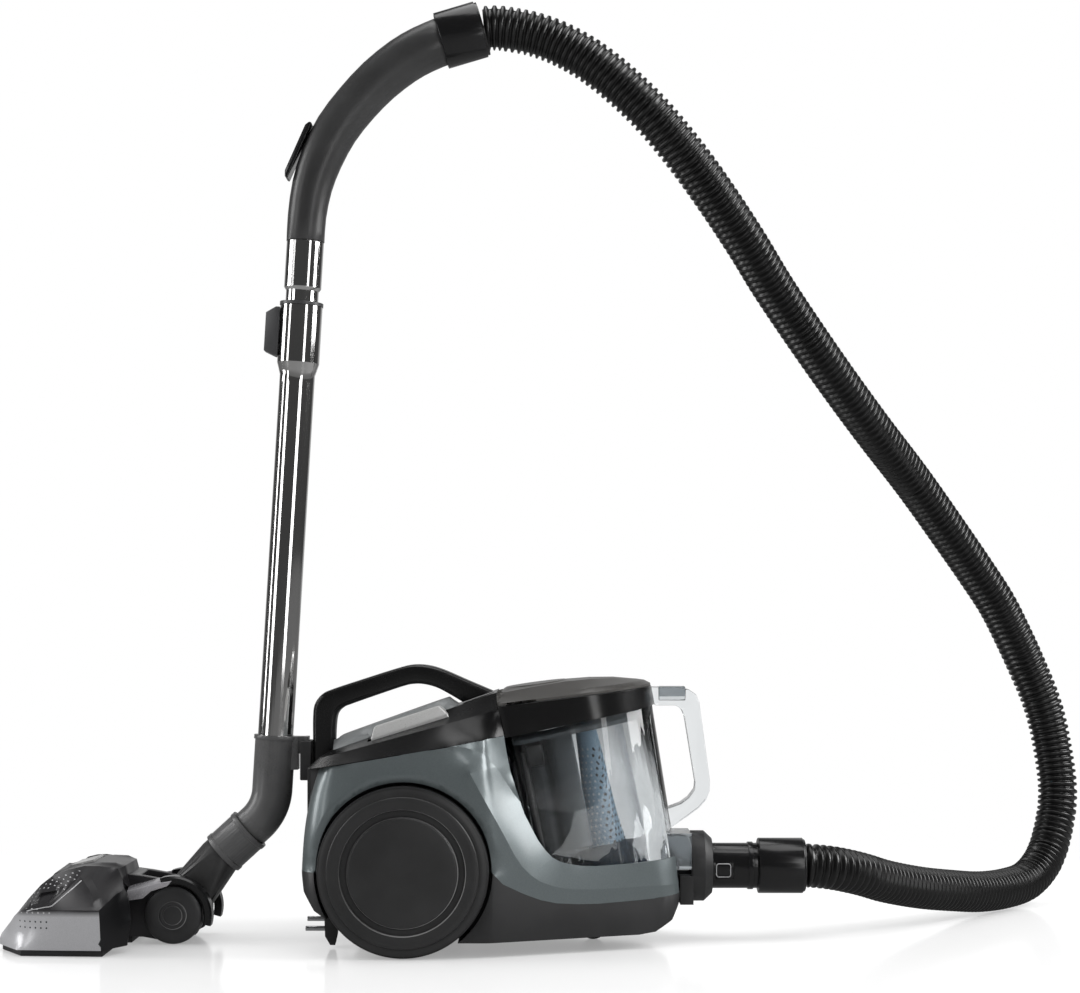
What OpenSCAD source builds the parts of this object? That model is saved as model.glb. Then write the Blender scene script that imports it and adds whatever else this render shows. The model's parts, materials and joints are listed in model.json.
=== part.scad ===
// Canister vacuum cleaner with a clear dust bin, a parked telescopic wand,
// a floor head and a corrugated hose.  Millimetres, +Z up, +X to the hose
// inlet, origin on the floor below the axle of the two rear wheels.

/* [Rear wheels] */
// Radius of the rear wheels over their tyres
wheel_r = 81; // [76:0.5:84]
// Width of each rear wheel
wheel_w = 34; // [28:1:38]
// Distance between the outer faces of the rear wheels
track_w = 290; // [284:1:300]
// Thickness of the tyre band
tyre_t = 9; // [6:0.5:11]
// Radius of the steel axle stubs
axle_r = 6; // [4:0.5:8]
// Gap between the tyre and its arch
arch_gap = 3.5; // [2:0.5:6]

/* [Body] */
// Width of the body over the side shells
body_w = 264; // [258:1:270]
// Rear face of the body, behind the axle
rear_x = -98; // [-102:1:-94]
// Front face of the body
front_x = 267; // [264:1:270]
// Height of the underside above the floor
under_z = 14; // [12:0.5:16]
// Wall of the moulded shells
wall = 3; // [2.4:0.2:3.6]
// Space between the motor chamber and each rear wheel
wheel_space = 13; // [12:0.5:16]

/* [Carry handle] */
// Width of the carry handle
carry_w = 28; // [22:1:34]

/* [Pedals on the deck] */
// Length of each pedal
pedal_l = 78; // [70:1:84]
// Width of each pedal
pedal_w = 36; // [30:1:40]
// Distance from the middle to each pedal's centre line
pedal_y = 62; // [58:1:64]
// Gap round a pedal in its opening
pedal_gap = 0.5; // [0.3:0.1:0.8]

/* [Dust bin] */
// Lean of the bin's axis to the rear
bin_lean = 11.4; // [9:0.2:13]
// Radius of the bin's nose at the top
bin_top_r = 78; // [75:0.5:80]
// Radius of the bin's nose at the bottom
bin_foot_r = 70; // [68:0.5:73]
// Half width of the bin's flat back at the top
bin_back_w = 88; // [84:1:90]
// Height of the bin's floor
bin_floor_z = 72; // [70:0.5:74]
// Wall of the clear bin
bin_wall = 2.5; // [2:0.1:3]
// Width of the bin's handle
bin_grip_w = 24; // [18:1:28]
// Radius of each cyclone tube
cyclone_r = 14; // [11:0.5:14]
// Number of cyclone tubes behind the shroud
cyclone_n = 5; // [3:1:5]
// Radius of the shroud at its foot
shroud_foot_r = 23; // [20:0.5:26]
// Radius of the shroud at its top
shroud_top_r = 9; // [8:0.5:11]

/* [Hose and inlet] */
// Height of the inlet's centre
inlet_z = 73; // [71:0.5:75]
// Outer radius of the inlet collar
collar_r = 35; // [33:0.5:37]
// Outer radius of the hose connector
connector_r = 22.5; // [21.5:0.25:23.5]
// Outer radius of the hose cuff at the inlet
cuff_r = 27.5; // [26:0.5:30]
// Outer radius of the corrugated hose
hose_r = 22; // [21:0.25:22]
// Wall of the hose
hose_wall = 2.2; // [1.4:0.2:3]

/* [Wand] */
// Lean of the parked wand towards the hose
wand_lean = 3.46; // [2:0.1:5]
// Outer radius of the lower tube
tube_r = 17.5; // [17:0.25:18]
// Outer radius of the lower tube's upper sleeve
sleeve_r = 21; // [20:0.25:22]
// Outer radius of the sliding upper tube
inner_tube_r = 16.25; // [15.5:0.25:16.25]
// Outer radius of the upper tube's top socket
top_socket_r = 18.5; // [18:0.25:19]
// Wall of the steel tubes
tube_wall = 1; // [0.7:0.1:1.2]
// Length of the lower tube above the elbow's rim
tube_l = 432; // [425:1:440]
// Travel of the upper tube
extend_l = 320; // [280:10:340]

/* [Elbow and neck] */
// Outer radius of the elbow
elbow_r = 20; // [19.5:0.25:21]
// Bend radius of the elbow's centre line
elbow_bend = 50; // [46:1:54]
// Fall of the neck below level
neck_fall = 42.4; // [40:0.2:45]
// Outer radius of the neck sleeve
neck_r = 23; // [22:0.25:24]

/* [Floor head] */
// Width of the floor head
head_w = 252; // [240:2:270]
// Radius of the head's two small wheels
head_wheel_r = 28.5; // [26:0.5:29]
// Width of each small wheel
head_wheel_w = 12; // [9:0.5:13]
// Distance between the outer faces of the small wheels
head_track_w = 88; // [84:1:92]
// Radius of the small wheels' axle
head_axle_r = 4; // [3:0.25:5]
// Thickness of the sole plate
sole_t = 6; // [4:0.5:8]

/* [Front caster] */
// Radius of the caster wheel
caster_r = 15; // [13:0.5:16]
// Width of the caster wheel
caster_w = 12; // [9:0.5:14]
// Trail of the caster wheel behind its swivel
caster_trail = 8; // [5:0.5:10]

/* [Mains plug] */
// Radius of the plug's pins
pin_r = 2.4; // [2:0.1:2.5]
// Length of the plug's pins
pin_l = 19; // [17:0.5:20]
// Distance between the pins
pin_gap = 19; // [18:0.5:20]

/* [Fits] */
// Radial clearance of a running fit
run_gap = 0.05; // [0.02:0.01:0.09]
// Gap between parts that move past each other
slide_gap = 0.35; // [0.3:0.05:0.6]

/* [Hidden] */
$fn = 64;
hull_fn = 32;
eps = 0.01;
far = 700;

// --- body lines in the side view, as [x, z] ---
// Lower edge of the top cover at x
edge_z = 192.8;
edge_slope = 0.165;
function seam(x) = edge_z - 1.02 + edge_slope * x;
shell_top = [for (x = [-80, 94]) [x, seam(x)]];
shell_rear = [[rear_x, 80], [rear_x, 118], [rear_x + 4, 157], [rear_x + 10, 171]];
shell_seam = [[98, 185], [105, 160], [114, 133], [127, 108], [141, 91], [158, 84]];
rim_top = [[184, 81.5], [224, 83], [front_x, 86]];
rim_foot = [[front_x, 51], [225, 47.5], [185, 46], [145, 48.5], [118, 57], [94, 69]];
keel = [[front_x, 51], [front_x - 2, 40], [258, 26], [241, 16], [225, under_z], [-40, under_z],
        [-62, 30], [-84, 44], [-95, 61], [rear_x, 80]];
caster_x = 190;
caster_pin_r = 2.5;
chamber_x = rear_x + 8;
chamber_top = 176;

axle_z = wheel_r;
wheel_in_y = track_w / 2 - wheel_w;
well_y = wheel_in_y - wheel_space;
chamber_w = 2 * well_y;
arch_r = wheel_r + arch_gap;

// --- bin frame: origin on the axis at the lower edge of the black band ---
bin_at = [164.6, 0, 218.7];
bin_deep = 175;
band_r = 80.5;
band_back = -71;
lid_lean = 6.7;
lid_at = [160.5, 0, 243.6];
lid_back = -73;
// Point [x, z] of the bin frame, in the body's side view
function in_bin(p) = [bin_at[0] + p[0] * cos(bin_lean) - p[1] * sin(bin_lean),
    bin_at[2] + p[0] * sin(bin_lean) + p[1] * cos(bin_lean)];

// --- wand frame: origin at the elbow's rim, local z along the tubes ---
wand_at = [-135, 0, 203];
// Local heights along the wand
sleeve_from = tube_l - 60;
upper_neck = tube_l + 15;
upper_top = tube_l + 61;

// --- neck and head ---
elbow_turn = 90 - wand_lean - neck_fall;
elbow_drop = 54;
outlet_l = 8;
neck_l = 37;
head_axle = [-231, 0, head_wheel_r];
head_rear_x = head_axle[0] - 50;
head_front_x = head_rear_x - 112;

// --- grip: centre line as [x, z] and outer radius at each point ---
grip_foot = wand_point(upper_top);
grip_line = concat([wand_point(upper_top + 0.6), wand_point(upper_top + 26)],
    [for (p = [[6.7, 55.9], [16.2, 83.9], [31.2, 112.9], [51.2, 138.9], [73.2, 161.9],
               [97.2, 180.9], [117.2, 192.4], [137.2, 200.9]]) grip_foot + p]);
grip_radius = [19, 19.3, 20.3, 21.4, 22, 22.3, 22.8, 23.2, 23.4, 23.5];
cuff_top_at = in_xz(grip_foot + [135.2, 200.9]);
cuff_top_lean = 16.6;
cuff_top_l = 44;
cuff_top_r = 28;

// --- hose: hand-set centre line, from inside the inlet cuff to inside the grip cuff ---
hose_at = [393, 0, inlet_z];
// From the inlet cuff's mouth, along the floor and up
hose_low = [[-6, 0, 0], [9, 1, -0.6], [32, 8, -4], [61, 28, -12], [91, 58, -23], [132, 98, -34],
    [172, 140, -42], [210, 183, -48.5], [247, 226, -50], [279, 263, -45], [304, 291, -25],
    [319, 308, 9], [326, 318, 52], [320, 325, 108], [309, 324, 151], [291, 320, 193],
    [273, 311, 228], [253, 300, 263], [228, 286, 297], [202, 270, 330]];
// From there to the grip cuff, measured from that cuff's foot
hose_high = [[511, 231, -428], [455, 180, -369], [400, 135, -306], [344, 90, -237], [312, 60, -194],
    [281, 36, -154], [249, 16, -115], [215, 4, -77], [185, 1, -48], [154, 0, -23], [124, 0, -5],
    [96, 0, 6], [69, 0, 11.7], [54, 0, 13.2], [36.5, 0, 10.9]];
hose_path = concat([for (p = hose_low) hose_at + p], [for (p = hose_high) cuff_top_at + p]);

// ---------- helpers ----------

// A 2D outline in the x, z plane, extruded to both sides of the middle
module side_prism(width, y = 0) {
    translate([0, y + width / 2, 0]) rotate([90, 0, 0]) linear_extrude(width) children();
}

// A cylinder along y, from y0 to y1
module y_cyl(r, y0, y1, x = 0, z = 0) {
    translate([x, y1, z]) rotate([90, 0, 0]) cylinder(r = r, h = y1 - y0);
}

// A cylinder along x, from x0 to x1
module x_cyl(r, x0, x1, z = 0, r2 = -1) {
    translate([x0, 0, z]) rotate([0, 90, 0]) cylinder(r1 = r, r2 = r2 < 0 ? r : r2, h = x1 - x0);
}

// A turned profile about the y axis; children are drawn as [radius, distance out]
module y_turn(side, y0, z) {
    translate([0, side * y0, z]) rotate([-90 * side, 0, 0]) rotate_extrude() children();
}

function unit(v) = v / norm(v);
function tangent(p, i) = unit(p[min(i + 1, len(p) - 1)] - p[max(i - 1, 0)]);

// Ring of points round point i of a path, square to it, with its seam kept level
function ring(p, i, r, sides) =
    let (t = tangent(p, i), a = unit(cross(t, [0, 1, 0.001])), b = cross(t, a))
    [for (k = [0:sides - 1]) p[i] + r * (cos(360 * k / sides) * a + sin(360 * k / sides) * b)];

// A round bar swept along a path, with one radius for each point
module swept(p, radii, sides) {
    n = len(p);
    polyhedron(
        points = [for (i = [0:n - 1]) for (q = ring(p, i, radii[i], sides)) q],
        faces = concat(
            [[for (k = [0:sides - 1]) k]],
            [for (i = [0:n - 2]) for (k = [0:sides - 1]) let (m = (k + 1) % sides)
                [i * sides + k, (i + 1) * sides + k, (i + 1) * sides + m, i * sides + m]],
            [[for (k = [0:sides - 1]) n * sides - 1 - k]]));
}

// Catmull-Rom smoothing of a point list, with `steps` pieces to a span
function cr(a, b, c, d, t) = 0.5 * (2 * b + (c - a) * t + (2 * a - 5 * b + 4 * c - d) * t * t
    + (3 * b - a - 3 * c + d) * t * t * t);
function smooth(p, steps) = let (n = len(p))
    concat([for (i = [0:n - 2]) for (k = [0:steps - 1])
        cr(p[max(i - 1, 0)], p[i], p[i + 1], p[min(i + 2, n - 1)], k / steps)], [p[n - 1]]);

// Plan of the body, drawn in by `inset`
module plan(inset = 0) {
    corner = 30;
    nose = 42;
    hull() for (side = [-1, 1]) {
        translate([rear_x + corner, side * (body_w / 2 - corner)]) circle(corner - inset);
        translate([75, side * (body_w / 2 - corner)]) circle(corner - inset);
        translate([front_x - nose, side * 28]) circle(nose - inset);
    }
}

// Plan of the upper body, which draws in from the wheel arches to the bin
arch_end_x = 40;
neck_x = 80;
module upper_plan(half, front_half, back_x, inset = 0) {
    corner = 24;
    hull() for (side = [-1, 1]) {
        for (x = [back_x + corner, arch_end_x]) translate([x, side * (half - corner)]) circle(corner - inset);
        translate([neck_x, side * (front_half - corner)]) circle(corner - inset);
    }
}

// The space beyond the slanted facet that runs from each wheel arch down to the bin
facet_at = [73.2, body_w / 2 - 1, 156.4];
facet_turn = 43.4;
facet_tilt = 19.7;
module facet_cut(inset = 0) {
    difference() {
        intersection() {
            for (side = [0, 1]) mirror([0, side, 0])
                translate([facet_at[0], -facet_at[1], facet_at[2]]) rotate([0, -facet_tilt, -facet_turn])
                    translate([-inset, -far / 2, -far / 2]) cube([far, far, far]);
            translate([0, -far, 86 - inset]) cube([far, 2 * far, far]);
        }
        linear_extrude(far) upper_plan(body_w / 2 - 1, neck_half, rear_x + 4, inset);
    }
}

// ---------- chassis ----------

// Outline of the bin's plan: round nose and flat back, in the bin frame
module bin_plan(nose_r, back, back_w) {
    hull() {
        intersection() {
            circle(nose_r, $fn = 96);
            translate([back, -far / 2]) square(far);
        }
        for (side = [-1, 1]) translate([back + 10, side * (back_w - 10)]) circle(10, $fn = hull_fn);
    }
}

module in_bin_frame() {
    translate(bin_at) rotate([0, -bin_lean, 0]) children();
}

module in_lid_frame() {
    translate(lid_at) rotate([0, -lid_lean, 0]) children();
}

// Solid form of the bin, grown by `grow`
module bin_form(grow = 0) {
    in_bin_frame() hull() {
        translate([0, 0, 8]) linear_extrude(eps)
            bin_plan(bin_top_r + grow, band_back - grow, bin_back_w + grow);
        translate([0, 0, -bin_deep]) linear_extrude(eps)
            bin_plan(bin_foot_r + grow, band_back + 5 - grow, bin_back_w - 12 + grow);
    }
}

// Side view of the motor chamber, drawn in by `inset`
module chamber_line(inset = 0) {
    foot = in_bin([band_back + 5, -bin_deep]);
    top = in_bin([band_back, 8]);
    gap = 3;
    polygon([[chamber_x + inset, under_z + inset], [foot[0] - gap - inset, under_z + inset],
        [foot[0] - gap - inset, foot[1]], [top[0] - gap - inset, top[1]], [chamber_x + inset, top[1]]]);
}

// Everything above the keel line
module above_keel() {
    intersection() {
        children();
        side_prism(far) polygon(concat(keel, [[rear_x, far], [front_x, far]]));
    }
}

module housing_skirt() {
    difference() {
        intersection() {
            translate([0, 0, under_z]) linear_extrude(90) plan();
            side_prism(far) polygon(concat(keel, [[-90, 80], [84, 80]],
                [for (i = [len(rim_foot) - 1:-1:1]) rim_foot[i]]));
        }
        intersection() {
            translate([0, 0, under_z + wall]) linear_extrude(90) plan(wall);
            side_prism(far) polygon([[-38.5, under_z + wall], [225, under_z + wall], [256, 30],
                [front_x - wall, 46], [front_x - wall, 100], [-90, 100], [rear_x + wall, 80],
                [-92, 62], [-82, 47.5], [-60, 33.3]]);
        }
        for (side = [0, 1]) mirror([0, side, 0]) y_cyl(arch_r, well_y, far, 0, axle_z);
    }
}

// Solid form of the motor chamber, inside the side shells, drawn in by `inset`
module chamber_form(inset = 0) {
    difference() {
        side_prism(chamber_w - 2 * inset) chamber_line(inset);
        facet_cut(wall + slide_gap + inset);
    }
}

module housing_chamber() {
    intersection() {
        difference() {
            chamber_form();
            chamber_form(wall);
        }
        translate([-far, -far, 0]) cube([2 * far, 2 * far, chamber_top]);
    }
}

module lower_housing() {
    cradle_top = bin_floor_z - wall - slide_gap;
    color([0.13, 0.13, 0.14]) difference() {
        above_keel() {
            housing_skirt();
            difference() {
                housing_chamber();
                side_prism(far) polygon([[chamber_x + wall, chamber_top + 10], [chamber_x + wall, 60],
                    [-82, 47.5], [-60, 33.3], [-38.5, under_z + wall], [70, under_z + wall],
                    [70, under_z + wall + 1], [-20, 60], [-20, chamber_top + 10]]);
            }
            for (side = [0, 1]) mirror([0, side, 0])
                translate([chamber_x, well_y - wall, under_z]) cube([100, wall, chamber_top - under_z]);
            translate([caster_x, 0, under_z]) cylinder(r = 29, h = 34);
            // cradle of the bin and its two ribs
            intersection() {
                union() {
                    translate([128, -62, cradle_top - wall]) cube([112, 124, wall]);
                    for (x = [128, 237]) translate([x, -50, under_z]) cube([wall, 100, cradle_top - under_z - 1]);
                }
                linear_extrude(far) plan(wall + 0.5);
            }
            // axle bosses
            for (side = [0, 1]) mirror([0, side, 0])
                y_cyl(axle_r + 6, well_y - 6, well_y + 10, 0, axle_z);
            // motor saddles
            for (y = mount_y) translate([motor_x - 50, y - 2, under_z]) cube([100, 10, 50]);
            for (p = screw_at) translate([p[0], p[1], under_z]) cylinder(r = 6, h = 16);
            y_cyl(10, reel_y + reel_w / 2 + 6, well_y - 1, reel_x, reel_z);
        }
        for (side = [0, 1]) mirror([0, side, 0])
            y_cyl(axle_r, well_y - 6, far, 0, axle_z);
        y_cyl(motor_r + mount_t, -well_y + wall, 12, motor_x, motor_z);
        y_cyl(5, reel_y, well_y - wall, reel_x, reel_z);
        for (p = screw_at) translate([p[0], p[1], 0]) {
            cylinder(r = 2, h = under_z + 13);
            cylinder(r = 4.3, h = under_z + wall);
        }
        translate([caster_x, 0, 0]) {
            cylinder(r = 26, h = 36);
            cylinder(r = 4 + run_gap, h = far);
        }
        // opening for the exhaust
        translate([rear_x - 5, -46, 84]) cube([20, 92, 60]);
    }
}

motor_r = 50;
motor_x = -22;
motor_z = 92;
motor_y0 = 7 - well_y;
motor_y1 = 6;
mount_t = 5;
mount_y = [motor_y0 + 7, -10];
reel_x = -10;
reel_z = 92;
reel_y = well_y - 40;
reel_w = 44;
reel_r = 62;
screw_at = [[-26, 84], [-26, -84], [92, 84], [92, -84]];

module shell_block(inset = 0) {
    outline = concat([[-90, 80]], shell_rear, shell_top, shell_seam, rim_top, rim_foot, [[84, 80]]);
    difference() {
        intersection() {
            translate([0, 0, 30]) linear_extrude(190) plan(inset);
            side_prism(body_w + 20) offset(delta = -inset) polygon(outline);
        }
        facet_cut(inset);
    }
}

module side_shell(side) {
    color([0.42, 0.45, 0.46]) difference() {
        shell_block();
        shell_block(wall);
        bin_form(2);
        // open underneath
        intersection() {
            linear_extrude(far) plan(wall);
            side_prism(body_w) polygon(concat([for (p = rim_foot) p + [0, wall + 2]],
                [for (i = [len(rim_foot) - 1:-1:0]) rim_foot[i] - [0, 10]]));
        }
        // the other half, the motor chamber, the top cover and the inlet
        translate([-far, side > 0 ? -far : 0.2, 0]) cube([2 * far, far - 0.2, far]);
        chamber_form(-slide_gap);
        translate([60, -80, 0]) cube([65, 160, far]);
        translate([rear_x + 4, -well_y - 0.4, 0]) cube([60, chamber_w + 0.8, far]);
        translate([rear_x - 5, -52, 0]) cube([40, 104, far]);
        translate([220, -collar_r - 3, 0]) cube([80, 2 * collar_r + 6, far]);
        y_cyl(arch_r, -far, far, 0, axle_z);
        in_bin_frame() translate([0, 0, -1]) linear_extrude(far)
            bin_plan(band_r + 1.5, band_back - 1.6, 92);
    }
}

// Height of the roof's crown at x
crown_z = 217;
crown_slope = 0.355;
function crown(x) = crown_z + crown_slope * x;

// Roof of the body: three outlines, each on its own slope, drawn in by `inset`.
// A row holds the height at x = 0, the slope, the half width, its front half width and the rear end.
neck_half = 103;
module roof_form(inset = 0) {
    corner = 24;
    rows = [[edge_z, edge_slope, body_w / 2 - 1, neck_half, rear_x + 4], [207.9, 0.272, 98, 90, rear_x + 13],
            [crown_z, crown_slope, 60, 58, rear_x + 21]];
    hull() for (row = rows) for (side = [-1, 1])
        for (p = [[row[4] + corner, row[2]], [arch_end_x, row[2]], [neck_x, row[3]]])
            translate([p[0], side * (p[1] - corner), row[0] + row[1] * p[0]]) rotate([0, -atan(row[1]), 0])
                translate([0, 0, -1 - inset]) cylinder(r = corner - inset, h = 1, $fn = hull_fn);
}

// Space that the bin and its lid lift out of
module bin_opening(gap) {
    in_bin_frame() translate([0, 0, -60]) linear_extrude(160)
        bin_plan(band_r + gap, band_back - 1 - gap, 91 + gap);
    in_lid_frame() linear_extrude(60) bin_plan(band_r + gap, lid_back - gap, 91 + gap);
}

module top_cover() {
    color([0.11, 0.11, 0.12]) difference() {
        roof_form();
        roof_form(wall);
        bin_opening(0.6);
        // front edge: along the bin's band, and behind the lid above it
        in_bin_frame() translate([band_back - 0.8, -far / 2, -far]) cube([far, far, 2 * far]);
        in_lid_frame() translate([lid_back - 0.6, -far / 2, -2]) cube([far, far, far]);
        for (side = [-1, 1]) pedal_slot(side);
        // notch for the handle's rear leg
        side_prism(carry_w) polygon([[rear_x - 9, 100], [-75, 100], [-75, 300], [rear_x - 9, 300]]);
        // lower edge, on the side shells
        side_prism(far) polygon([[-far, -far], [far, -far], [far, seam(far)], [-far, seam(-far)]]);
    }
}

pedal_lean = 17.9;
module at_pedal(side) {
    translate([0, side * pedal_y, 225]) rotate([0, -pedal_lean, 0]) children();
}
module pedal_slot(side) {
    at_pedal(side) translate([-pedal_l / 2 - pedal_gap, -pedal_w / 2 - pedal_gap, -60])
        cube([pedal_l + 2 * pedal_gap, pedal_w + 2 * pedal_gap, 100]);
}
module pedal(side) {
    color([0.75, 0.76, 0.77]) at_pedal(side) difference() {
        hull() {
            translate([-pedal_l / 2, -pedal_w / 2, -20]) cube([pedal_l, pedal_w, 10]);
            translate([-pedal_l / 2 + 6, -pedal_w / 2 + 7, -2]) cube([pedal_l - 12, pedal_w - 14, 2]);
        }
        translate([-pedal_l / 2 + 2.5, -pedal_w / 2 + 2.5, -21]) cube([pedal_l - 5, pedal_w - 5, 10]);
    }
}

module control_deck() {
    color([0.55, 0.56, 0.56]) difference() {
        translate([0, 0, crown_z]) rotate([0, -atan(crown_slope), 0])
            translate([-74, -58, 0]) cube([121, 116, 2.5]);
        for (side = [-1, 1]) pedal_slot(side);
        side_prism(carry_w + 0.6) polygon([[rear_x, 0], [-74.5, 0], [-74.5, 400], [rear_x, 400]]);
    }
}

module carry_handle() {
    color([0.1, 0.1, 0.11]) side_prism(carry_w) polygon(concat(
        [[-97, 162], [-97, 226], [-94, 238], [-86, 246], [-78, 249.5]],
        [[-12, 271], [3, 274], [18, 273.5], [32, 269.5], [83.5, crown(83.5) + 1], [83.5, crown(83.5)]],
        [[46, crown(46)], [47, 241], [30, 249.5], [16, 254], [0, 254.5], [-60, 234], [-69, 229],
         [-73.5, 220], [-75, 194], [-75, 177], [chamber_x - 0.2, 177], [chamber_x - 0.2, 162]]));
}

module park_bracket() {
    color([0.12, 0.12, 0.13]) difference() {
        translate([-109, -17, 159]) cube([11, 34, 39]);
        // slot for the hook's tongue, open at the top
        translate([-106.2, -11.4, 164]) cube([4.9, 22.8, 60]);
        translate([-110, -8, 164]) cube([6, 16, 60]);
    }
}

module inlet_collar() {
    color([0.1, 0.1, 0.11]) difference() {
        union() {
            x_cyl(collar_r, 279, 292, inlet_z);
            x_cyl(collar_r, 292 - eps, 300, inlet_z, 27.5);
            translate([front_x, -collar_r, inlet_z - collar_r]) cube([13, 2 * collar_r, 28]);
        }
        x_cyl(connector_r + run_gap, 283, 301, inlet_z);
        x_cyl(connector_r - 4, 260, 301, inlet_z);
    }
}

module motor_casing() {
    color([0.6, 0.61, 0.62]) difference() {
        y_cyl(motor_r, motor_y0, motor_y1, motor_x, motor_z);
        y_cyl(motor_r - 2, motor_y0 + 6, motor_y1 - 6, motor_x, motor_z);
        y_cyl(5 + run_gap, motor_y0 - 1, motor_y1 + 1, motor_x, motor_z);
        for (a = [0:60:300]) translate([motor_x, 0, motor_z]) rotate([0, a, 0])
            y_cyl(7, motor_y0 - 1, motor_y1 + 1, 30, 0);
    }
}

module motor_mounts() {
    color([0.2, 0.2, 0.2]) for (y = mount_y) difference() {
        y_cyl(motor_r + mount_t, y, y + 6, motor_x, motor_z);
        y_cyl(motor_r, y - 1, y + 7, motor_x, motor_z);
    }
}

module motor_rotor() {
    color([0.7, 0.45, 0.25]) {
        y_cyl(5, motor_y0 + 1, motor_y1 - 1, motor_x, motor_z);
        y_cyl(30, -52, -14, motor_x, motor_z);
    }
}

fan_y = motor_y0 + 9;
module motor_fan() {
    color([0.8, 0.8, 0.82]) difference() {
        union() {
            y_cyl(44, fan_y + 10, fan_y + 12, motor_x, motor_z);
            y_cyl(9, fan_y, fan_y + 12, motor_x, motor_z);
            for (a = [0:40:320]) translate([motor_x, 0, motor_z]) rotate([0, a, 0])
                translate([8, fan_y, -1]) cube([34, 11, 2]);
        }
        y_cyl(5, fan_y - 8, fan_y + 22, motor_x, motor_z);
    }
}

module reel_pin() {
    color([0.75, 0.76, 0.78]) y_cyl(5, reel_y - reel_w / 2 - 2, well_y - wall, reel_x, reel_z);
}

module reel_drum() {
    color([0.85, 0.85, 0.83]) difference() {
        union() {
            y_cyl(26, reel_y - reel_w / 2, reel_y + reel_w / 2, reel_x, reel_z);
            for (y = [reel_y - reel_w / 2, reel_y + reel_w / 2 - 2]) y_cyl(reel_r, y, y + 2, reel_x, reel_z);
        }
        y_cyl(5 + run_gap, 0, far, reel_x, reel_z);
    }
}

module reel_spring() {
    color([0.6, 0.62, 0.65]) difference() {
        y_cyl(30, reel_y + reel_w / 2 + slide_gap, reel_y + reel_w / 2 + 6, reel_x, reel_z);
        y_cyl(5.2, 0, far, reel_x, reel_z);
    }
}

module mains_cord() {
    color([0.08, 0.08, 0.08]) difference() {
        y_cyl(51, reel_y - reel_w / 2 + 2, reel_y + reel_w / 2 - 2, reel_x, reel_z);
        y_cyl(26, 0, far, reel_x, reel_z);
    }
}

// Plug parked in the rear of the housing, its pins to the rear
plug_at = [-73, -58, 22];
plug_roll = 22;
module mains_plug() {
    color([0.1, 0.1, 0.1]) difference() {
        translate(plug_at) rotate([plug_roll, 0, 0]) hull() {
            translate([-6, -15, -5]) cube([12, 30, 29]);
            translate([-2, -9, -18]) cube([5, 18, 4]);
        }
        // seated on the underside of the body
        side_prism(far) polygon(concat([for (p = keel) p], [[rear_x, far], [front_x, far]]));
    }
    color([0.75, 0.76, 0.78]) translate(plug_at) rotate([plug_roll, 0, 0]) {
        for (side = [-1, 1]) translate([-6, side * pin_gap / 2, 1]) rotate([0, -90, 0])
            cylinder(r = pin_r, h = pin_l);
    }
}

module exhaust_filter() {
    color([0.85, 0.85, 0.8]) translate([rear_x + 8, -46, 84]) cube([10, 92, 60]);
}

module exhaust_grille() {
    color([0.1, 0.1, 0.11]) difference() {
        translate([rear_x, -51.7, 80.3]) cube([8, 103.4, 92]);
        translate([rear_x + wall, -45, 85]) cube([10, 90, 58]);
        for (z = [90:8:138]) translate([rear_x - 1, -44, z]) cube([10, 88, 4]);
        translate([rear_x - 1, -carry_w / 2 - 0.2, 161.8]) cube([10, carry_w + 0.4, 20]);
    }
}

module housing_screws() {
    color([0.7, 0.7, 0.72]) for (p = screw_at) translate([p[0], p[1], under_z + 0.6]) {
        cylinder(r = 4, h = 2.4);
        cylinder(r = 2, h = 12);
    }
}

// ---------- rear wheels ----------

module wheel_axles() {
    color([0.75, 0.76, 0.78]) for (side = [-1, 1])
        y_cyl(axle_r, side > 0 ? well_y - 6 : -axle_out, side > 0 ? axle_out : 6 - well_y, 0, axle_z);
}
axle_out = track_w / 2 - 8;

module wheel(side) {
    rim_r = wheel_r - tyre_t;
    color([0.16, 0.16, 0.17]) y_turn(side, wheel_in_y, axle_z) difference() {
        polygon([[0, 4], [12, 4], [14, wheel_w - 13], [rim_r - 20, wheel_w - 13], [rim_r - 4, wheel_w - 16],
            [rim_r - 4, 0], [rim_r, 0], [rim_r, wheel_w - 2], [rim_r - 11, wheel_w - 1],
            [rim_r - 13, wheel_w - 5], [rim_r - 20, wheel_w - 5], [rim_r - 21, wheel_w - 0.5],
            [0, wheel_w]]);
        translate([-1, -1]) square([1 + axle_r + run_gap, 1 + axle_out - wheel_in_y + slide_gap]);
    }
}

module tyre(side) {
    color([0.08, 0.08, 0.08]) y_turn(side, wheel_in_y, axle_z)
        polygon([[wheel_r - tyre_t, 0], [wheel_r - 2, 0], [wheel_r, 3], [wheel_r, wheel_w - 10],
            [wheel_r - 1, wheel_w - 5], [wheel_r - 4, wheel_w - 2.5], [wheel_r - tyre_t, wheel_w - 2]]);
}

// ---------- caster ----------

module caster_fork() {
    wheel_x = caster_x - caster_trail;
    cheek_y = caster_w / 2 + 2;
    color([0.12, 0.12, 0.12]) {
        translate([caster_x, 0, 34.5]) cylinder(r = 4, h = 15);
        translate([caster_x, 0, 32]) cylinder(r = 16, h = 3.6);
        for (side = [-1, 1]) hull() {
            y_cyl(5, side * cheek_y - 1.5, side * cheek_y + 1.5, wheel_x, caster_r);
            translate([wheel_x - 3, side * cheek_y - 1.5, 32]) cube([14, 3, 2]);
        }
        y_cyl(caster_pin_r, -cheek_y, cheek_y, wheel_x, caster_r);
    }
}

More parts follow.
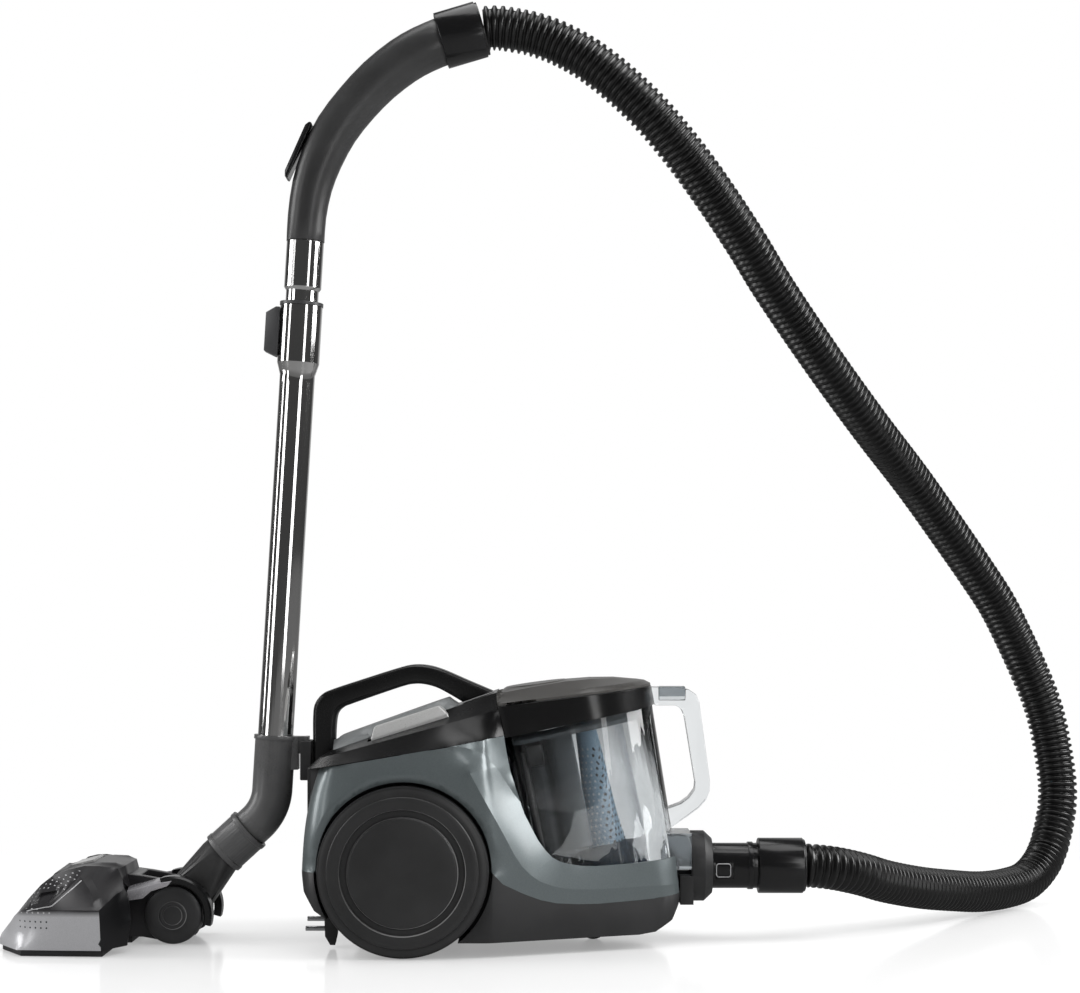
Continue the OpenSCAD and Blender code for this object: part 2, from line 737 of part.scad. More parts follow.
module caster_wheel() {
    wheel_x = caster_x - caster_trail;
    color([0.2, 0.2, 0.2]) difference() {
        y_cyl(caster_r, -caster_w / 2, caster_w / 2, wheel_x, caster_r);
        y_cyl(caster_pin_r + run_gap, -far, far, wheel_x, caster_r);
    }
}

// ---------- dust bin ----------

module above_floor(z) {
    intersection() {
        children();
        translate([-far, -far, z]) cube([2 * far, 2 * far, far]);
    }
}

module bin_cup() {
    color([0.8, 0.85, 0.88, 0.4]) {
        difference() {
            union() {
                above_floor(bin_floor_z) bin_form();
                // duct to the inlet
                translate([240, -29, bin_floor_z]) cube([38.6, 58, 35.5]);
            }
            bin_form(-bin_wall);
            translate([230, -26.5, bin_floor_z + wall]) cube([60, 53, 29.5]);
        }
    }
}

module bin_floor() {
    color([0.3, 0.32, 0.34]) intersection() {
        bin_form();
        translate([-far, -far, bin_floor_z - wall]) cube([2 * far, 2 * far, wall]);
    }
}

module bin_band() {
    color([0.07, 0.07, 0.08]) difference() {
        in_bin_frame() difference() {
            linear_extrude(50) bin_plan(band_r, band_back - 1, 91);
            translate([0, 0, -1]) linear_extrude(60)
                bin_plan(bin_top_r - bin_wall - 2, band_back + 5, bin_back_w - 5);
            translate([0, 0, -1]) linear_extrude(9.05) bin_plan(bin_top_r + 0.02, band_back - 0.02, bin_back_w + 0.02);
        }
        in_lid_frame() translate([-far, -far, 0]) cube([2 * far, 2 * far, far]);
    }
}

module lid_cover() {
    // rows across the dome: place along the lid, half width, height
    rows = [[lid_back + 10, 62, 13], [-6, 50, 16], [44, 24, 12.5], [62, 12, 9]];
    color([0.25, 0.24, 0.23]) in_lid_frame() difference() {
        hull() {
            translate([0, 0, slide_gap]) linear_extrude(2.5) bin_plan(band_r - 1, lid_back, 90);
            for (row = rows) for (side = [-1, 1])
                translate([row[0], side * (row[1] - 10), row[2] - 1]) cylinder(r = 10, h = 1, $fn = hull_fn);
        }
        translate([0, 0, -1]) linear_extrude(4) bin_plan(band_r - 8, lid_back + 7, 82);
    }
}

module pre_motor_filter() {
    color([0.2, 0.35, 0.5]) in_lid_frame() translate([0, 0, -11]) linear_extrude(10)
        bin_plan(bin_top_r - bin_wall - 3, lid_back + 9, bin_back_w - 7);
}

shroud_x = 9;
shroud_wall = 2;
module bin_shroud() {
    h = bin_deep - 12;
    color([0.25, 0.42, 0.55]) above_floor(bin_floor_z) in_bin_frame() translate([shroud_x, 0, -bin_deep]) difference() {
        cylinder(r1 = shroud_foot_r, r2 = shroud_top_r, h = h);
        translate([0, 0, -1])
            cylinder(r1 = shroud_foot_r - shroud_wall, r2 = shroud_top_r - shroud_wall, h = h);
    }
}

// Places of the cyclone tubes, on an arc behind the shroud
cyclone_at = [for (i = [0:cyclone_n - 1]) let (a = 114 + i * 132 / (cyclone_n - 1))
    (bin_foot_r - 20) * [cos(a), sin(a)]];

module cyclone_cluster() {
    color([0.6, 0.65, 0.68]) in_bin_frame() {
        difference() {
            union() {
                for (p = cyclone_at) translate([p[0], p[1], -118]) cylinder(r = cyclone_r, h = 111);
                translate([0, 0, -10]) linear_extrude(4)
                    bin_plan(bin_top_r - bin_wall - 1.2, band_back + 4, bin_back_w - 4.5);
                translate([shroud_x, 0, -14]) cylinder(r = shroud_top_r + 4, h = 5);
            }
            for (p = cyclone_at) translate([p[0], p[1], -120]) cylinder(r = cyclone_r - 1.5, h = 130);
            translate([shroud_x, 0, -20]) cylinder(r = shroud_top_r - 3, h = 30);
            translate([shroud_x, 0, -14 - eps]) cylinder(r = shroud_top_r + 0.5, h = 3);
        }
    }
}

module bin_handle() {
    color([0.8, 0.85, 0.88, 0.4]) difference() {
        side_prism(bin_grip_w) polygon([[236, 251.5], [262, 251.5], [277, 249], [284, 244], [287.5, 236],
            [298, 158], [297.5, 148], [294, 139], [287, 131], [276, 123], [250, 105.3],
            [246, 127.5], [269, 136], [276.5, 141.5], [283, 150], [283.5, 157],
            [273, 222], [270, 229], [264, 233], [236, 233]]);
        bin_form(0.02);
        in_bin_frame() translate([0, 0, -2]) linear_extrude(60) bin_plan(band_r, band_back, 90);
        translate([trigger_x[0], -trigger_w / 2, 238]) cube([trigger_x[1] - trigger_x[0], trigger_w, 60]);
    }
}

trigger_x = [247, 274];
trigger_w = 14;
module release_trigger() {
    color([0.1, 0.1, 0.1])
        translate([trigger_x[0] + slide_gap, -trigger_w / 2 + slide_gap, 242])
            cube([trigger_x[1] - trigger_x[0] - 2 * slide_gap, trigger_w - 2 * slide_gap, 10]);
}

// ---------- inlet and hose ----------

module hose_connector() {
    color([0.09, 0.09, 0.1]) difference() {
        union() {
            x_cyl(connector_r, 283 + slide_gap, 346, inlet_z);
            x_cyl(connector_r + 1.2, 336, 341, inlet_z);
        }
        x_cyl(connector_r - 3.5, 280, 350, inlet_z);
        for (side = [-1, 1]) latch_hole(side);
    }
}
latch_x = 312;
module latch_hole(side) {
    translate([latch_x - 9, side > 0 ? 15 : -40, inlet_z - 11]) cube([18, 25, 16]);
}
module hose_latch(side) {
    color([0.14, 0.14, 0.15]) intersection() {
        translate([latch_x - 9 + slide_gap, side > 0 ? 19.2 : -23.5, inlet_z - 11 + slide_gap])
            cube([18 - 2 * slide_gap, 4.3, 16 - 2 * slide_gap]);
        x_cyl(connector_r + 1, 290, 330, inlet_z);
    }
}

module hose_cuff() {
    color([0.08, 0.08, 0.09]) difference() {
        union() {
            x_cyl(cuff_r, 346 + slide_gap, 391, inlet_z);
            x_cyl(cuff_r - 1.5, 391 - eps, hose_at[0], inlet_z);
        }
        x_cyl(connector_r - 3.5, 340, 400, inlet_z);
    }
}

module hose() {
    path = smooth(hose_path, 2);
    last = len(path) - 1;
    reach = 2 * hose_r;
    color([0.05, 0.05, 0.05]) difference() {
        swept(path, [for (p = path) hose_r], 12);
        swept(concat([path[0] - tangent(path, 0)], [for (i = [1:last - 1]) path[i]],
            [path[last] + tangent(path, last)]), [for (p = path) hose_r - hose_wall], 12);
        // cut off flat at the mouths of both cuffs
        translate(hose_at + [slide_gap - reach, -reach, -reach]) cube([reach, 2 * reach, 2 * reach]);
        in_top_cuff(cuff_top_l + slide_gap - reach) translate([-reach, -reach, 0]) cube([2 * reach, 2 * reach, reach]);
    }
}

// ---------- wand ----------

module in_wand_frame(z = 0) {
    translate(wand_at) rotate([0, wand_lean, 0]) translate([0, 0, z]) children();
}

module lower_tube() {
    color([0.75, 0.76, 0.78]) in_wand_frame() difference() {
        union() {
            translate([0, 0, -30]) cylinder(r = tube_r, h = sleeve_from);
            translate([0, 0, sleeve_from - 12]) cylinder(r1 = tube_r, r2 = sleeve_r, h = 12);
            translate([0, 0, sleeve_from]) cylinder(r = sleeve_r, h = tube_l - 3 - sleeve_from);
            translate([0, 0, sleeve_from - 31]) cylinder(r = tube_r, h = 30);
        }
        translate([0, 0, -31]) cylinder(r = tube_r - tube_wall, h = far);
        translate([0, 0, sleeve_from + 1]) cylinder(r = sleeve_r - tube_wall, h = far);
        lock_window();
    }
}

// Window for the lock in the sleeve's rear side
module lock_window() {
    translate([-40, -7, sleeve_from + 12]) cube([40, 14, 32]);
}

lip_r = sleeve_r + 0.6;
module tube_collar() {
    color([0.3, 0.3, 0.31]) in_wand_frame() difference() {
        union() {
            translate([0, 0, tube_l - 3]) cylinder(r = lip_r, h = 3.4);
            translate([0, 0, sleeve_from + 1]) cylinder(r = sleeve_r - tube_wall, h = tube_l - 3 - sleeve_from);
        }
        translate([0, 0, sleeve_from]) cylinder(r = inner_tube_r + run_gap, h = far);
        lock_window();
    }
}

module tube_lock() {
    color([0.35, 0.35, 0.36]) in_wand_frame() {
        translate([0, 0, sleeve_from + 6]) difference() {
            hull() {
                translate([-34, -9, 4]) cube([4, 18, 38]);
                translate([-sleeve_r - 3, -12, 0]) cube([4, 24, 48]);
            }
            translate([0, 0, -5]) cylinder(r = sleeve_r + slide_gap, h = 80);
            // room for the collar's lip at the top of its travel
            translate([0, 0, 38]) cylinder(r = lip_r + 0.2, h = 30);
        }
        translate([-sleeve_r - 3, -6, sleeve_from + 18]) cube([6.2, 12, 14]);
    }
}

module upper_tube() {
    color([0.75, 0.76, 0.78]) in_wand_frame() difference() {
        union() {
            translate([0, 0, 22]) cylinder(r = inner_tube_r, h = upper_neck - 22);
            translate([0, 0, upper_neck - 3]) cylinder(r1 = inner_tube_r, r2 = top_socket_r, h = 3);
            translate([0, 0, upper_neck]) cylinder(r = top_socket_r, h = upper_top - upper_neck);
        }
        translate([0, 0, 0]) cylinder(r = inner_tube_r - tube_wall, h = far);
        translate([0, 0, upper_neck + 1]) cylinder(r = top_socket_r - tube_wall, h = far);
    }
}

function in_xz(p) = [p[0], 0, p[1]];
// Point of the wand's axis at a height along it, as [x, z]
function wand_point(h) = [wand_at[0] + h * sin(wand_lean), wand_at[2] + h * cos(wand_lean)];

module grip() {
    path = smooth([for (p = grip_line) in_xz(p)], 2);
    radii = smooth(grip_radius, 2);
    last = len(path) - 1;
    color([0.17, 0.17, 0.18]) {
        difference() {
            swept(path, radii, 24);
            swept(concat([path[0] - tangent(path, 0)], [for (i = [1:last - 1]) path[i]],
                [path[last] + tangent(path, last)]), [for (r = radii) r - wall], 24);
        }
        // spigot in the top of the tube
        in_wand_frame(upper_top - 36) difference() {
            cylinder(r = top_socket_r - tube_wall, h = 40);
            translate([0, 0, -1]) cylinder(r = top_socket_r - tube_wall - 2, h = 42);
        }
    }
}

// Slider that uncovers a hole in the grip, on its outer side
slider_at = in_xz(grip_foot + [15.2, 78.9]);
slider_lean = 24;
module suction_slider() {
    color([0.12, 0.12, 0.13]) translate(slider_at) rotate([0, slider_lean, 0]) hull() {
        translate([-28.5, -9, -22]) cube([3, 18, 50]);
        translate([-25.5, -12, -28]) cube([2.8, 24, 60]);
    }
}

module in_top_cuff(z = 0) {
    translate(cuff_top_at) rotate([0, 90 - cuff_top_lean, 0]) translate([0, 0, z]) children();
}

module grip_cuff() {
    color([0.09, 0.09, 0.1]) in_top_cuff() difference() {
        union() {
            translate([0, 0, slide_gap]) cylinder(r = cuff_top_r, h = cuff_top_l - 3);
            cylinder(r = cuff_top_r - 1.5, h = cuff_top_l);
        }
        translate([0, 0, -1]) cylinder(r = hose_r - 2, h = far);
        translate([0, 0, -eps]) cylinder(r = cuff_top_r - 3.2, h = 6);
    }
}

// ---------- elbow, neck and head ----------

// Straight part, bend and outlet, from the rim down; `extra` lengthens both ends
module elbow_path(r, extra = 0) {
    in_wand_frame(-elbow_drop) {
        cylinder(r = r, h = elbow_drop + extra);
        rotate([90, 0, 0]) translate([-elbow_bend, 0, 0]) rotate_extrude(angle = -elbow_turn)
            translate([elbow_bend, 0]) circle(r);
        translate([-elbow_bend, 0, 0]) rotate([0, elbow_turn, 0])
            translate([elbow_bend, 0, -outlet_l - extra]) cylinder(r = r - 0.02, h = outlet_l + extra + 0.5);
    }
}

module elbow() {
    color([0.14, 0.14, 0.15]) difference() {
        union() {
            elbow_path(elbow_r);
            in_wand_frame(-4) cylinder(r = elbow_r + 1.2, h = 4);
            // arm and tongue of the parking hook
            translate([-119, -9, 169]) cube([7, 18, 33]);
            translate([-116, -7, 185]) cube([12, 14, 17]);
            translate([-105.6, -11, 169]) cube([3.7, 22, 33]);
        }
        elbow_path(elbow_r - wall, 1);
        in_wand_frame(-30) cylinder(r = tube_r, h = 40);
    }
}

module in_neck_frame(z = 0) {
    translate(elbow_end()) rotate([0, 270 - neck_fall, 0]) translate([0, 0, z]) children();
}
function rot_y(v, a) = [v[0] * cos(a) + v[2] * sin(a), v[1], -v[0] * sin(a) + v[2] * cos(a)];
function elbow_end() = wand_at + rot_y(
    [-elbow_bend, 0, -elbow_drop] + rot_y([elbow_bend, 0, -outlet_l], elbow_turn), wand_lean);

module neck_sleeve() {
    color([0.16, 0.16, 0.17]) in_neck_frame() difference() {
        union() {
            translate([0, 0, slide_gap]) cylinder(r = neck_r, h = 5);
            translate([0, 0, 4]) cylinder(r = neck_r - 0.8, h = neck_l - 8);
            translate([0, 0, neck_l - 5]) cylinder(r = neck_r, h = 5);
        }
        translate([0, 0, -1]) cylinder(r = neck_r - 4, h = far);
    }
}

module knuckle() {
    color([0.15, 0.15, 0.16]) difference() {
        hull() {
            in_neck_frame(neck_l) cylinder(r = neck_r - 2.5, h = 8, $fn = hull_fn);
            y_cyl(24, -19, 19, head_axle[0], head_axle[2] + 1);
        }
        hull() {
            in_neck_frame(neck_l - 1) cylinder(r = neck_r - 5, h = 8, $fn = hull_fn);
            y_cyl(13, -15, 15, head_axle[0] + 8, head_axle[2] + 6);
        }
        y_cyl(head_axle_r + run_gap, -far, far, head_axle[0], head_axle[2]);
    }
}

carriage_w = head_track_w - 2 * head_wheel_w - 2 * 0.8;
module head_carriage() {
    color([0.12, 0.12, 0.13]) {
        difference() {
            union() {
                translate([head_axle[0], 0, 0]) side_prism(carriage_w)
                    polygon([[-56, 6], [-31, 6], [-15, 3], [0, 2], [21, 8], [28, 20], [29, 34],
                        [23, 48], [9, 60], [-9, 62], [-31, 66], [-46, 68]]);
            }
            // bay of the knuckle
            translate([head_axle[0] - 35, -21, -1]) cube([80, 42, 100]);
            translate([head_rear_x - 7, 3 - carriage_w / 2, 12]) cube([22, carriage_w - 6, 44]);
        }
        y_cyl(head_axle_r, -head_track_w / 2 + 3, head_track_w / 2 - 3, head_axle[0], head_axle[2]);
    }
}

module head_wheel(side) {
    y0 = head_track_w / 2 - head_wheel_w;
    color([0.2, 0.2, 0.21]) translate([head_axle[0], 0, 0]) y_turn(side, y0, head_axle[2]) difference() {
        polygon([[0, 0], [head_wheel_r - 2, 0], [head_wheel_r, 2], [head_wheel_r, head_wheel_w - 4],
            [head_wheel_r - 3, head_wheel_w - 1.5], [15, head_wheel_w - 0.5], [13, head_wheel_w - 2],
            [11, head_wheel_w], [0, head_wheel_w]]);
        translate([-1, -1]) square([1 + head_axle_r + run_gap, head_wheel_w - 3 + 1 + slide_gap]);
    }
}

// Plan of the head, with slanted front corners, drawn in by `inset`
module head_plan(inset = 0) {
    half = head_w / 2 - inset;
    side_x = head_front_x + 27;
    polygon([[head_rear_x - inset, -half], [side_x + inset, -half + 6], [head_front_x + inset, -half + 49],
        [head_front_x + inset, half - 49], [side_x + inset, half - 6], [head_rear_x - inset, half]]);
}

module head_form(inset = 0) {
    half = head_w / 2;
    hull() {
        translate([0, 0, sole_t - (inset > 0 ? 1 : 0)]) linear_extrude(4) head_plan(inset);
        for (p = [[12, 64, half - 14], [8, 81, half - 24], [-3, 85.5, half - 30],
                  [-21, 86, half - 34], [-44, 82.5, half - 38], [-64, 73, half - 38],
                  [-81, 54, half - 42], [-96, 32, half - 44]])
            translate([head_rear_x + p[0] + (p[0] < -19 ? inset : -inset), inset - p[2], p[1] - 1 - inset])
                cube([1, 2 * (p[2] - inset), 1]);
    }
}

module head_cover() {
    color([0.28, 0.28, 0.3]) difference() {
        head_form();
        difference() {
            head_form(wall);
            // bosses of the pedal's pin
            for (side = [0, 1]) mirror([0, side, 0])
                translate([head_pedal_at[0] - 6, 25.5, 72]) cube([12, 6, 20]);
        }
        y_cyl(pedal_pin_r + run_gap, -30, 30, head_pedal_at[0], head_pedal_at[2]);
        // opening for the carriage at the rear
        translate([head_rear_x - 8, -carriage_w / 2 - 0.3, sole_t - 1]) cube([40, carriage_w + 0.6, 64]);
        head_pedal_slot();
    }
}

head_pedal_at = [head_front_x + 71, 0, 80];
pedal_pin_r = 2.5;
module head_pedal_slot() {
    translate(head_pedal_at) rotate([0, -14, 0]) translate([-11.8, -25.5, -12]) cube([23.6, 51, 40]);
}
module head_pedal() {
    color([0.8, 0.8, 0.82]) translate(head_pedal_at) rotate([0, -14, 0]) {
        translate([-11, -25, -1]) cube([22, 50, 4.5]);
        y_cyl(pedal_pin_r, -29, 29, 0, 0);
    }
}

module head_sole() {
    color([0.2, 0.2, 0.21]) difference() {
        union() {
            linear_extrude(sole_t - 0.02) head_plan(3);
            // tongue under the carriage
            translate([head_rear_x - 6, -carriage_w / 2 + 2, 0]) cube([14, carriage_w - 4, sole_t - 0.02]);
        }
        // suction mouth
        translate([head_front_x + 41, -100, -1]) cube([26, 200, 20]);
        for (x = bristle_x) translate([x - 3.5, -96, -1]) cube([7, 192, 20]);
    }
}
bristle_x = [head_front_x + 31, head_front_x + 79];

module head_bristles() {
    color([0.05, 0.05, 0.05]) {
        for (x = bristle_x) translate([x - 3, -95, 0.4]) cube([6, 190, 12]);
        for (y = [-80, 80]) translate([bristle_x[0] - 3, y - 4, 10]) cube([bristle_x[1] - bristle_x[0] + 6, 8, 4]);
    }
}

// ---------- model ----------

lower_housing();
side_shell(1);  // side_shell_left
side_shell(-1);  // side_shell_right
top_cover();
control_deck();
carry_handle();
park_bracket();
inlet_collar();
motor_casing();
motor_mounts();
motor_rotor();
motor_fan();
reel_pin();
reel_drum();
reel_spring();
mains_cord();
mains_plug();
exhaust_filter();
exhaust_grille();
housing_screws();
pedal(-1);  // power_pedal
pedal(1);  // rewind_pedal
wheel_axles();
wheel(1);  // wheel_left
wheel(-1);  // wheel_right
tyre(1);  // tyre_left
tyre(-1);  // tyre_right
caster_fork();
caster_wheel();
bin_cup();
bin_floor();
bin_band();
bin_handle();
bin_shroud();
cyclone_cluster();
pre_motor_filter();
lid_cover();
release_trigger();
hose_connector();
hose_latch(1);  // hose_latch_left
hose_latch(-1);  // hose_latch_right
hose_cuff();
hose();
grip_cuff();
grip();
suction_slider();
upper_tube();
lower_tube();
tube_collar();
tube_lock();
elbow();
neck_sleeve();
knuckle();
head_carriage();
head_cover();
head_sole();
head_pedal();
head_bristles();
head_wheel(1);  // head_wheel_left
head_wheel(-1);  // head_wheel_right
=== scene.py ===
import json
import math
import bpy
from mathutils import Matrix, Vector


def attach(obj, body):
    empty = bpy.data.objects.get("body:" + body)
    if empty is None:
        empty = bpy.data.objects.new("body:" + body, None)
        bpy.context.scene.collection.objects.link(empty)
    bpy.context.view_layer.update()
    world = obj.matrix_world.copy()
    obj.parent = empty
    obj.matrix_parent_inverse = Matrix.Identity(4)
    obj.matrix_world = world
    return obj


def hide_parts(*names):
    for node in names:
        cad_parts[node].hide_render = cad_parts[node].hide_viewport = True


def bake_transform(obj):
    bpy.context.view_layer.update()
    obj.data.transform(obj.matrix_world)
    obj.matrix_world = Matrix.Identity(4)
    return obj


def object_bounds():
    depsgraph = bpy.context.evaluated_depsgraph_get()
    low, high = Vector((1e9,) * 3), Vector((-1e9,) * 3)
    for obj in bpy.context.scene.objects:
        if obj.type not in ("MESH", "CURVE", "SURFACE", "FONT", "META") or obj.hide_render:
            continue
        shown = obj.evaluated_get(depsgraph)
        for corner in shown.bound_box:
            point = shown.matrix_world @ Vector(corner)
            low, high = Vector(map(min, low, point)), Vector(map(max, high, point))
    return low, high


bl_info = {
    "name": "Canister Vacuum Cleaner",
    "version": (1, 0, 0),
    "blender": (4, 5, 0),
    "location": "View3D > Sidebar > Cleaner",
    "description": "Dresses the packed canister vacuum cleaner with its detailed pieces and finishes",
    "category": "Object",
}

from contextlib import contextmanager

import bmesh
import bpy
import numpy as np
from mathutils import Matrix, Vector
from mathutils.bvhtree import BVHTree
from mathutils.geometry import convex_hull_2d, delaunay_2d_cdt

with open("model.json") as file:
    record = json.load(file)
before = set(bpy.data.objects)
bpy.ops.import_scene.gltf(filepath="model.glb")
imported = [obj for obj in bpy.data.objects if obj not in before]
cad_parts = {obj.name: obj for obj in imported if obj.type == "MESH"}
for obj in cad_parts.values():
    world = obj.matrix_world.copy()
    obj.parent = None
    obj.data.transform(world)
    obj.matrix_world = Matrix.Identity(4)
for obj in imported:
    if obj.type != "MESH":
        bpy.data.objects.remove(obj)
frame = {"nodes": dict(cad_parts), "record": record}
CAD_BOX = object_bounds()

MM = 0.001


def mm(*values):
    """A point given in millimetres, in metres."""
    return Vector(values) * MM


BODY_OF = {node: body for body, nodes in frame["record"]["behaviour"]["bodies"].items()
           for node in nodes}
SLOT_OF = {part["node"]: part["material_slot"] for part in frame["record"]["subparts"]}

WHEEL_CENTRE = mm(0, 0, 81)
WAND_FOOT = mm(-135, 0, 203)
WAND_LEAN = math.radians(3.46)
BIN_AT = mm(164.6, 0, 218.7)
BIN_LEAN = math.radians(11.4)
BIN_TURN = Matrix.Rotation(-BIN_LEAN, 4, "Y")
CONE_AT = BIN_AT + BIN_TURN @ mm(9, 0, 0)
LID_AT = mm(160.5, 0, 243.6)
LID_LEAN = math.radians(6.7)
LID_TURN = Matrix.Rotation(-LID_LEAN, 4, "Y")
HEAD_AXLE = mm(-231, 0, 28.5)
SIDES = (("left", 1), ("right", -1))


# ---------------------------------------------------------------- sizes and colours


def colour(name, text, value):
    return bpy.props.FloatVectorProperty(
        name=name, description=text, subtype="COLOR", size=3, min=0, max=1, default=value)


def length(name, text, value, least=0.0, most=1.0):
    return bpy.props.FloatProperty(
        name=name, description=text, unit="LENGTH", default=value, min=least, max=most, precision=4)


def group(name, text, kind):
    return bpy.props.PointerProperty(name=name, description=text, type=kind)


class CleanerColours(bpy.types.PropertyGroup):
    housing: colour("Housing", "Matt moulding of the underbody", (0.022, 0.022, 0.023))
    shell: colour("Shell", "Metallic side shells and rim", (0.132, 0.155, 0.16))
    gloss_black: colour("Gloss black", "Top cover and bin band", (0.005, 0.005, 0.0053))
    deck: colour("Deck", "Satin metallic control deck", (0.2, 0.21, 0.213))
    silver: colour("Silver", "Pedals", (0.5, 0.5, 0.495))
    lid: colour("Lid", "Lid of the dust bin", (0.05, 0.048, 0.045))
    wheel: colour("Wheel", "Rear wheel discs", (0.022, 0.022, 0.0225))
    hose: colour("Hose", "Corrugated hose", (0.004, 0.004, 0.004))
    grip: colour("Grip", "Bent grip", (0.035, 0.035, 0.0355))
    handle: colour("Handle", "Carrying handle", (0.006, 0.006, 0.0062))
    cone: colour("Cone", "Perforated cone in the bin", (0.26, 0.42, 0.56))
    head: colour("Head", "Cover of the floor head", (0.026, 0.025, 0.027))


class HoseSizes(bpy.types.PropertyGroup):
    radius: length("Radius", "Outer radius over the ribs", 0.022, 0.01, 0.03)
    valley: length("Valley", "Radius between two ribs", 0.0186, 0.01, 0.03)
    pitch: length("Pitch", "Distance from rib to rib", 0.0071, 0.003, 0.02)


class BinSizes(bpy.types.PropertyGroup):
    hole: length("Hole", "Radius of a hole in the cone", 0.0011, 0.0004, 0.003)
    hole_pitch: length("Hole pitch", "Distance between rows of holes", 0.0052, 0.002, 0.01)


class CleanerSettings(bpy.types.PropertyGroup):
    colours: group("Colours", "Colours of the finishes", CleanerColours)
    hose: group("Hose", "Sizes of the hose's ribs", HoseSizes)
    bin: group("Bin", "Sizes of the bin's perforations", BinSizes)


# ---------------------------------------------------------------- node trees


class Signal:
    """A number that varies over a surface. Sums and products of it add Math nodes."""

    def __init__(self, tree, socket):
        self.tree, self.socket = tree, socket

    def maths(self, operation, *values, clamp=False):
        node = self.tree.nodes.new("ShaderNodeMath")
        node.operation, node.use_clamp = operation, clamp
        for socket, value in zip(node.inputs, values):
            if isinstance(value, Signal):
                self.tree.links.new(value.socket, socket)
            else:
                socket.default_value = value
        return Signal(self.tree, node.outputs[0])

    def __add__(self, other):
        return self.maths("ADD", self, other)

    def __sub__(self, other):
        return self.maths("SUBTRACT", self, other)

    def __rsub__(self, other):
        return self.maths("SUBTRACT", other, self)

    def __mul__(self, other):
        return self.maths("MULTIPLY", self, other)

    def __truediv__(self, other):
        return self.maths("DIVIDE", self, other)

    def __rtruediv__(self, other):
        return self.maths("DIVIDE", other, self)

    def __pow__(self, other):
        return self.maths("POWER", self, other)

    def __abs__(self):
        return self.maths("ABSOLUTE", self)

    __radd__, __rmul__ = __add__, __mul__

    def wave(self):
        return self.maths("SINE", self)

    def root(self):
        return self.maths("SQRT", self)

    def clipped(self):
        return self.maths("ADD", self, 0.0, clamp=True)

    def ramp(self, low, high):
        """0 below low, 1 above high."""
        return ((self - low) / (high - low)).clipped()


class Graph:
    """Adds nodes to a tree: a type, its settings, then the values or links of its sockets."""

    def __init__(self, tree):
        self.tree = tree

    def node(self, kind, settings=None, sockets=None, out=0):
        made = self.tree.nodes.new(kind)
        for key, value in (settings or {}).items():
            if key == "stops":
                ramp = made.color_ramp
                while len(ramp.elements) < len(value):
                    ramp.elements.new(0.5)
                for stop, (place, shade) in zip(ramp.elements, value):
                    stop.position, stop.color = place, (*shade, 1)
            else:
                setattr(made, key, value)
        for key, value in (sockets or {}).items():
            if isinstance(value, Signal):
                self.tree.links.new(value.socket, made.inputs[key])
            else:
                made.inputs[key].default_value = value
        return Signal(self.tree, made.outputs[out]) if made.outputs else made

    def rays(self, *kinds):
        """For each kind of ray, whether this is one."""
        path = self.tree.nodes.new("ShaderNodeLightPath")
        return [Signal(self.tree, path.outputs[f"Is {kind} Ray"]) for kind in kinds]

    def parts(self, vector):
        split = self.tree.nodes.new("ShaderNodeSeparateXYZ")
        self.tree.links.new(vector.socket, split.inputs[0])
        return [Signal(self.tree, socket) for socket in split.outputs]


class Finish(Graph):
    """One material, built on a Principled shader."""

    def __init__(self, name):
        self.material = bpy.data.materials.new(name)
        self.material.use_nodes = True
        super().__init__(self.material.node_tree)
        self.tree.nodes.clear()
        self.place = self.node("ShaderNodeTexCoord", out=3)

    def about(self, centre=(0, 0, 0), turn=(0, 0, 0), scale=(1, 1, 1)):
        """Coordinates measured from a centre, turned and stretched."""
        moved = self.node("ShaderNodeVectorMath", {"operation": "SUBTRACT"},
                          {0: self.place, 1: tuple(centre)})
        return self.node("ShaderNodeMapping", {"vector_type": "POINT"},
                         {"Vector": moved, "Rotation": turn, "Scale": scale})

    def noise(self, scale, detail=2.0, at=None, rough=0.5):
        return self.node("ShaderNodeTexNoise", {"noise_dimensions": "3D"}, {
            "Vector": at or self.place, "Scale": scale, "Detail": detail, "Roughness": rough})

    def flakes(self):
        """A grey value for each fine metal flake."""
        cells = self.node("ShaderNodeTexVoronoi", {"feature": "F1"},
                          {"Vector": self.place, "Scale": 1800.0}, out=1)
        return self.node("ShaderNodeRGBToBW", None, {0: cells})

    def blend(self, factor, first, second):
        """A colour between two colours."""
        first, second = [v if isinstance(v, Signal) else (*v, 1) for v in (first, second)]
        return self.node("ShaderNodeMix", {"data_type": "RGBA"}, {0: factor, 6: first, 7: second}, out=2)

    def bump(self, height, depth, strength=1.0):
        return self.node("ShaderNodeBump", None, {
            "Strength": strength, "Distance": depth, "Height": height})

    def surface(self, **sockets):
        named = {key.replace("_", " ").title().replace("Ior", "IOR"): value
                 for key, value in sockets.items()}
        for key, value in named.items():
            if key.endswith("Color") and not isinstance(value, Signal):
                named[key] = (*value, 1)
        shader = self.node("ShaderNodeBsdfPrincipled", None, named)
        self.node("ShaderNodeOutputMaterial", None, {"Surface": shader})
        return self.material


def shades(base, low, high):
    """Two neighbours of a colour, darker and lighter."""
    return tuple(c * low for c in base), tuple(min(c * high, 1) for c in base)


def moulded(name, base, rough=0.42, grain=0.00004):
    """Moulded plastic with a fine spark-eroded grain."""
    f = Finish(name)
    fine, broad = f.noise(1500, 3), f.noise(22, 4)
    dark, pale = shades(base, 0.82, 1.2)
    return f.surface(
        base_color=f.blend(broad.ramp(0.3, 0.7), dark, pale),
        roughness=rough + (broad - 0.5) * 0.16 + (fine - 0.5) * 0.14,
        normal=f.bump(fine, grain))


